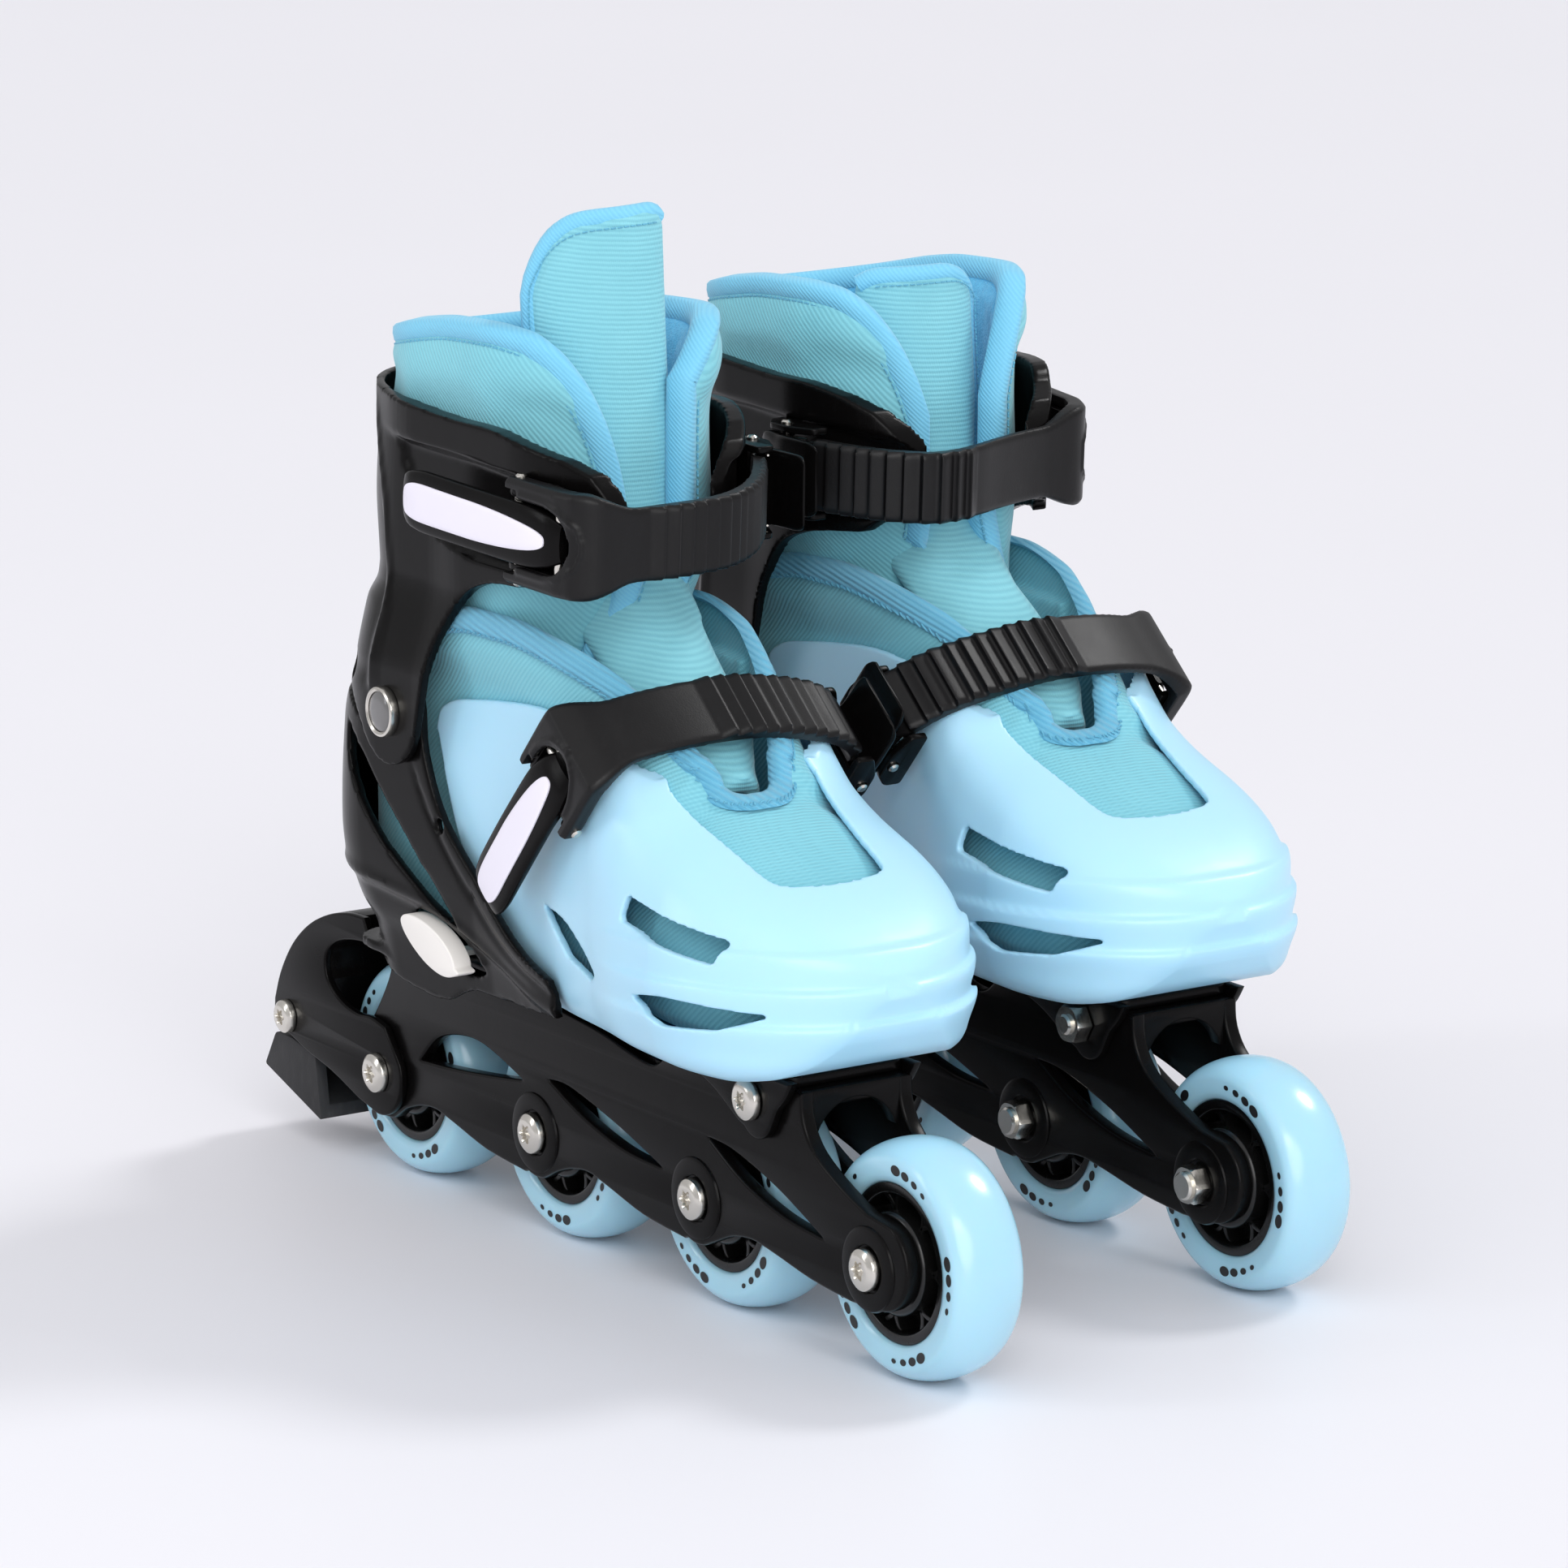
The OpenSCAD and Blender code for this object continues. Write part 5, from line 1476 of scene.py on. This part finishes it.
def bracket(buckle, lever_x, depth):
    """Two low cheeks on a base, which hold the pins of the strap and of the lever."""
    end = lever_x + 4
    cheek = rounded([(-5, -depth), (end, -depth), (end, 0.4), (end - 3, 1.6), (-2, 1.6), (-5, 0)], 1.0)
    parts = [plate([cheek], s * CHEEK_Y, s * (CHEEK_Y + CHEEK_T), 0.4) for s in (-1, 1)]
    base = [(-5, -depth), (end, -depth), (end, -depth + 0.9), (-5, -depth + 0.9)]
    parts.append(prism(base, -CHEEK_Y - 0.5, CHEEK_Y + 0.5))
    return buckle.put(join(parts))


def lever(buckle, lever_x, tail, lift):
    """Lever plate with a rounded nose and thin skirts."""
    rows = []
    length = lever_x + LEVER_NOSE + tail
    width = [(0, 0.72), (0.05, 0.9), (0.16, 1), (0.8, 0.99), (0.93, 0.86), (1, 0.6)]
    under = [(0, 1.8), (0.4, 1.6), (0.7, 1.5), (0.86, 0.3), (0.93, -2.0), (1, -0.6)]
    for t in np.linspace(0, 1, 34):
        x = -tail + t * length
        half = LEVER_W / 2 * float(smooth(t, width))
        top = float(smooth(t, LEVER_TOP)) + lift * (1 - t)
        low = float(smooth(t, under)) + lift * (1 - t) * 0.8
        mid, rise = (top + low) / 2, (top - low) / 2
        ring = []
        for a in round_angles(32):
            y = half * squared(math.cos(a), 0.35)
            crown = 0.5 * (1 - (y / half) ** 2) if math.sin(a) > 0 else 0
            ring.append((x, y, mid + rise * squared(math.sin(a), 0.45) + crown))
        rows.append(ring)
    return buckle.put(loft("lever", rows))


def lever_insert(buckle, lever_x, tail, lift):
    """White inlay with a blunt rear end and a rounded front end."""
    rings = []
    start, end = -tail + 1.6, lever_x - 2.5
    skirt = [(-1.2, 1.0), (0.35, 1.0)]
    for rise, inset in skirt + [(0.55, inset) for inset in (0.93, 0.75, 0.5, 0.25, 0.03)]:
        half = (end - start) / 2 * inset
        ring = []
        for a in round_angles(64):
            c, s = math.cos(a), math.sin(a)
            x = (start + end) / 2 + half * squared(c, 0.3 if c < 0 else 0.9)
            y = 6.0 * inset * squared(s, 0.7) * (1 - 0.14 * (c + 1))
            t = (x + tail) / (lever_x + LEVER_NOSE + tail)
            crown = 0.5 * (1 - (y / (LEVER_W / 2)) ** 2)
            ring.append((x, y, float(smooth(t, LEVER_TOP)) + lift * (1 - t) + crown + rise))
        rings.append(ring)
    return buckle.put(loft("insert", rings))


def strap(buckle, lever_x, path, toothed):
    """Strap with a fork round the lever at one end and a toothed length at the other."""
    heel = -2.6
    tooth_pitch, tooth_rise = 4.6, 2.0
    line = [np.array([x, 0.7]) for x in np.linspace(heel, path[0][0] - 5, 10)] + spline(path, 10)
    lengths = travelled(line)
    total = lengths[-1]
    teeth_from = total - toothed
    samples = np.concatenate([np.linspace(0, teeth_from, 70)[:-1],
                              np.linspace(teeth_from, total, int(toothed * 3))])
    xs = np.interp(samples, lengths, [p[0] for p in line])
    zs = np.interp(samples, lengths, [p[1] for p in line])
    tip = lever_x + 6.4
    rings, faces = [], []
    for i, s in enumerate(samples):
        a, b = max(i - 1, 0), min(i + 1, len(samples) - 1)
        d = np.array([xs[b] - xs[a], zs[b] - zs[a]])
        d /= np.linalg.norm(d)
        n = np.array([-d[1], d[0]])
        fork = 1 - float(step(s, tip + 4, tip + 20))
        tooth = tooth_rise * (((s - teeth_from) / tooth_pitch) % 1.0) if s > teeth_from else 0.0
        p = np.array([xs[i], zs[i]])
        rise = STRAP_T / 2 + 1.5 * fork + tooth
        o, q = p + n * rise, p - n * (STRAP_T / 2 + 1.1 * fork)
        w = STRAP_W / 2 + (FORK_Y + FORK_T - STRAP_W / 2) * fork
        if s > total - 6:
            w -= 2.0 * ((s - total + 6) / 6) ** 2
        bow = (o - q) * 0.2
        faces.append(o - n * 0.1)
        rings.append([(o[0] - bow[0], -w, o[1] - bow[1]), (o[0], -w + 1.3, o[1]), (o[0], w - 1.3, o[1]),
                      (o[0] - bow[0], w, o[1] - bow[1]), (q[0], w, q[1]), (q[0], -w, q[1])])
    band = loft("strap", rings)
    half = LEVER_W / 2 + 0.6
    nose = [(lever_x - 3, -half), (lever_x + 1.5, -half + 1.2), (lever_x + 4.6, -half + 4.2), (tip, -1.2)]
    lens = [(-8, -half), (lever_x - 6, -half)] + spline(nose, 6)
    lens += [(x, -y) for x, y in lens[::-1]]
    room = [(-8, -12), (lever_x + 4.6, -12), (lever_x + 4.6, 1.75), (-8, 1.75)]
    back = [(-8, -12), (2.5, -12), (2.5, 12), (-8, 12)]
    carve(band, [slab(lens, -12, 12), prism(room, -FORK_Y, FORK_Y), prism(back, -FORK_Y, FORK_Y)])
    lip = spline([(3, -half - 1.3), (lever_x - 5, -half - 1.3), (lever_x - 1, -half - 0.8),
                  (lever_x + 3.4, -half + 1.2), (lever_x + 6.8, -half + 4.4), (lever_x + 8.2, 0)], 5)
    rim = []
    for x, y in lip:
        o = faces[int(np.searchsorted(samples, x - heel))]
        rim.append((o[0], y, o[1]))
    rim += [(x, -y, z) for x, y, z in rim[-2::-1]]
    band = join([band, tube(rim, 0.75, 8)])
    return buckle.put(melt(band, 0.5, 3, 0.4))


# Ankle strap from its fork round the tongue to the catch, as plan points [x, y] of the skate.
ANKLE_WRAP = {
    "right": [(134, -38.3), (137.5, -34), (139, -27), (139, -15), (138, -3), (135, 8), (129, 18), (120.5, 27),
              (110.5, 35), (101, 41.5), (94, 45.5)],
    "left": [(109.5, -35.2), (113.2, -31.5), (115.2, -24), (118, -12), (122, 0), (126.5, 11), (129, 20),
             (128.5, 28.3), (121.5, 36), (111.5, 42), (102, 45.5), (94, 46.5)],
}
# Toe strap over the instep, in its buckle's own frame [x, z].
TOE_PATH = [(17, 0.5), (20.5, -4.5), (23.5, -12), (26, -24), (27, -37), (26.5, -50), (23.5, -63),
            (19.3, -75.5), (14.8, -83), (10.5, -87.2), (5.5, -88.8)]


def catch(buckle, depth):
    """Ratchet body: base and cheeks."""
    half = STRAP_W / 2 + 1
    cheek = rounded([(-9, -depth), (12, -depth), (12, -1), (4, 3), (-4, 3), (-9, -1)], 1.5)
    base = [(-9, -depth), (7, -depth), (7, -depth + 1), (-9, -depth + 1)]
    parts = [plate([cheek, circle(0, 0, 1.65, 20)], s * half, s * (half + CHEEK_T), 0.5) for s in (-1, 1)]
    return buckle.put(join(parts + [prism(base, -half - 0.5, half + 0.5)]))


def release(buckle):
    """Cover of the ratchet, a softly crowned rounded square."""
    half = STRAP_W / 2 + 0.6
    rear, length = -8.5, 28.5
    rows = []
    for t in np.linspace(0, 1, 30):
        x = rear + length * t
        w = half * float(smooth(t, [(0, 0.8), (0.06, 0.94), (0.15, 1), (0.85, 1), (0.95, 0.94), (1, 0.82)]))
        top = float(smooth(t, [(0, 2.6), (0.1, 3.8), (0.5, 5.4), (0.9, 5.2), (1, 4.0)]))
        low = float(smooth(t, [(0, 1.6), (0.2, 0.2), (0.32, -2.0), (0.42, 0.6), (0.55, 2.4), (1, 3.3)]))
        mid, rise = (top + low) / 2, (top - low) / 2
        rows.append([(x, w * squared(math.cos(a), 0.3), mid + rise * squared(math.sin(a), 0.4))
                     for a in round_angles(32)])
    return buckle.put(loft("release", rows))


def catch_spring(buckle):
    """Torsion spring: coils on the pin and a leg down to the base."""
    turns, r, first, pitch = 4, 2.1, 7.0, 0.75
    parts = []
    for s in (-1, 1):
        line = [(r * math.cos(t), s * (first + pitch * t / (2 * math.pi)), r * math.sin(t))
                for t in np.linspace(0, 2 * math.pi * turns, 60)]
        line += [(4.5, s * (first + pitch * turns), 0.9), (9, s * 9.8, -0.8)]
        parts.append(tube(line, 0.32, 6, up=(0.1, 1, 0.2)))
    return buckle.put(join(parts))


def buckles():
    """Both buckles of each skate: bracket and ratchet, pins, lever with its insert, strap and cover."""
    for side in SIDES:
        ankle = ankle_buckle(side)
        wrap = [ankle.into(p) for p in ANKLE_WRAP[side]]
        toothed = 84 if side == "right" else 56
        sets = (("ankle", "upper", ankle, ANKLE_CATCH, 18, 50, -1.0, 3.6, 6.2, wrap, toothed),
                ("toe", "toe", TOE_BUCKLE, TOE_CATCH, 8, 46, -0.6, 3.6, 6.6, TOE_PATH, 60))
        for name, body, buckle, ratchet, nose, tail, lift, depth, sunk, path, toothed in sets:
            plastic = join([bracket(buckle, nose, depth), catch(ratchet, sunk)])
            place(plastic, side, f"{name}_bracket", body, BLACK, "black", (f"{name}_buckle",), 35)
            pins = join([steel_pin(buckle, 0, FORK_Y + FORK_T + 0.4), steel_pin(buckle, nose, CHEEK_Y - 0.6),
                         steel_pin(ratchet, 0, STRAP_W / 2 + 1 + CHEEK_T + 0.5), catch_spring(ratchet)])
            place(pins, side, f"{name}_pins", body, STEEL, "steel")
            handle, belt, cover = f"{name}_lever", f"{name}_strap", f"{name}_release"
            place(lever(buckle, nose, tail, lift), side, f"{handle}_plate", handle, BLACK, "black",
                  (handle,), 50)
            place(lever_insert(buckle, nose, tail, lift), side, f"{handle}_insert", handle, WHITE, "ivory")
            place(strap(buckle, nose, path, toothed), side, f"{belt}_band", belt, BLACK_SOFT, "black",
                  (belt,), 28)
            place(release(ratchet), side, f"{cover}_cover", cover, BLACK, "black", (cover,), 50)


# ---- brake ----------------------------------------------------------------------------


def brake_outline():
    """Side view of the brake arm, with the round notch for the rear wheel."""
    notch = [(4, 46), (-4, 47.5), (-12, 47), (-21, 49), (-28, 54), (-28.5, 61), (-22, 66), (-10, 68.5),
             (3.6, 68.5)]
    back = [(-7, 76), (-16, 75.6), (-27, 73), (-38, 68), (-47.5, 60.5), (-54.5, 51), (-58.3, 42)]
    return (arc((0, AXLE_Z), 12.5, 250, 380, 14)
            + spline(notch, 6)
            + [(3.6, 71.8), (-5, 72)]
            + spline(back, 8)
            + arc(BRAKE_BOLT, 8, 175, 225, 6)
            + spline([(-50, 32.5), (-40, 29.5), (-26, 26.5), (-12, 22)], 6))


def brake():
    """Brake arm with its two cheeks, and the hollow rubber pad bolted into it."""
    outline = brake_outline()
    holes = [circle(0, AXLE_Z, AXLE_HOLE_R), circle(*BRAKE_BOLT, BOLT_HOLE_R)]
    cheeks = [plate([outline] + holes, s * (PLATE_OUT + 0.1), s * (PLATE_OUT + 2.6), 0.7) for s in (-1, 1)]
    core = prism(outline, -PLATE_OUT - 0.5, PLATE_OUT + 0.5)
    carve(core, [lathe(disc_profile([(WHEEL_R + 3, -40), (WHEEL_R + 3, 40)]), (0, 0, AXLE_Z), steps=96),
                 prism([(2.6, 0), (40, 0), (40, 90), (2.6, 90)], -40, 40),
                 prism([(-9, 40), (10, 40), (10, 90), (-9, 90)], -40, 40),
                 prism([(-66, 20), (-42, 20), (-42, 46), (-66, 46)], -7.4, 7.4)])
    round_edges(core, 0.5)
    place(join(cheeks + [core]), "right", "brake_holder", "chassis", BLACK, "black", ("brake_arm",), 35)
    block = rounded([(-60.5, 31), (-67, 20), (-35, 9.5), (-38, 28.2), (-41, 28.8), (-51, 31)], 1.2)
    room = rounded([(-54, 26.5), (-59.5, 21.5), (-20, 8.5), (-20, 25), (-42, 25)], 1.0)
    pad = carve(prism(block, -19, 19), [prism(room, -15.5, 15.5)])
    lug = prism([(-44, 28), (-44, 38)] + arc(BRAKE_BOLT, 6.5, 0, 180, 16) + [(-57, 30)], -7, 7)
    round_edges(pad, 0.6)
    round_edges(lug, 0.5)
    place(join([pad, lug]), "right", "brake_block", "chassis", RUBBER, "pad_rubber", ("brake_pad",), 35)


# ---- stage ----------------------------------------------------------------------------

# Line of sight fitted to the photograph; the target is measured from the right skate's origin in mm.
TARGET = np.array([175.23, 0, 145.76])
AZIMUTH, ELEVATION = math.radians(55.59), math.radians(12.47)
DISTANCE = 1784.8
SENSOR = 36
FOCAL_LENGTHS = 4.33    # focal length in widths of the sensor


def camera():
    """Camera on its line of sight to the target, level with the photograph's horizon."""
    data = bpy.data.cameras.new("camera")
    obj = link(bpy.data.objects.new("camera", data))
    back = Vector((math.sin(AZIMUTH) * math.cos(ELEVATION), -math.cos(AZIMUTH) * math.cos(ELEVATION),
                   math.sin(ELEVATION)))
    obj.location = Vector(ORIGIN["right"] + TARGET * MM) + back * DISTANCE * MM
    obj.rotation_mode = "QUATERNION"
    obj.rotation_quaternion = (-back).to_track_quat("-Z", "Y")
    data.sensor_width = SENSOR
    data.lens = SENSOR * FOCAL_LENGTHS
    data.clip_start, data.clip_end = 0.05, 60
    bpy.context.scene.camera = obj


def light(name, kind, energy, shining):
    """Lamp that shines along a direction."""
    data = bpy.data.lights.new(name, kind)
    data.energy = energy
    obj = link(bpy.data.objects.new(name, data))
    obj.rotation_mode = "QUATERNION"
    obj.rotation_quaternion = shining.to_track_quat("-Z", "Y")
    return obj


def area_light(name, place_at, look_at, size, power, color=(1, 1, 1)):
    """Soft box that looks at a point."""
    obj = light(name, "AREA", power, Vector(look_at) - place_at)
    obj.location = place_at
    obj.data.shape = "RECTANGLE"
    obj.data.size, obj.data.size_y = size
    obj.data.color = color


def sun_light(name, towards, strength, softness):
    """Even light from one direction, with a soft edge of so many degrees."""
    light(name, "SUN", strength, -towards).data.angle = math.radians(softness)


def stage():
    """Floor, even sky, three suns and two soft boxes, set up along the camera's directions."""
    floor = new_object("floor", [(-6, -6, 0), (6, -6, 0), (6, 6, 0), (-6, 6, 0)], [(0, 1, 2, 3)])
    s = Surface("floor", srgb(236, 235, 240), 0.5, Specular_IOR_Level=0.25)
    s.vary_roughness(s.noise(400, 2), 0.45, 0.55)
    floor.data.materials.append(s.material)
    world = bpy.data.worlds.new("studio")
    bpy.context.scene.world = world
    world.use_nodes = True
    sky = world.node_tree.nodes["Background"].inputs
    sky["Color"].default_value = (0.97, 0.97, 1.0, 1)
    sky["Strength"].default_value = 0.6
    right = Vector((math.cos(AZIMUTH), math.sin(AZIMUTH), 0))
    front = Vector((math.sin(AZIMUTH), -math.cos(AZIMUTH), 0))
    up = Vector((0, 0, 1))
    aim = (0, 0, 0.12)
    sun_light("key", right * 1.0 - front * 0.55 + up * 1.25, 0.88, 14)
    sun_light("fill", right * -0.5 + front * 0.8 + up * 1.3, 0.3, 50)
    sun_light("low", right * 0.2 + front * 1.0 + up * 0.45, 1.4, 45)
    area_light("front", right * 0.2 + front * 1.6 + up * 1.3, aim, (0.7, 0.4), 3)
    area_light("side", right * -1.5 + front * 0.3 + up * 0.9, aim, (0.2, 1.1), 3.5, (0.96, 0.98, 1.0))
    bpy.context.scene.view_settings.view_transform = "Standard"


camera()
wheels()
chassis()
heels()
cuffs()
toes()
liners()
buckles()
brake()
stage()
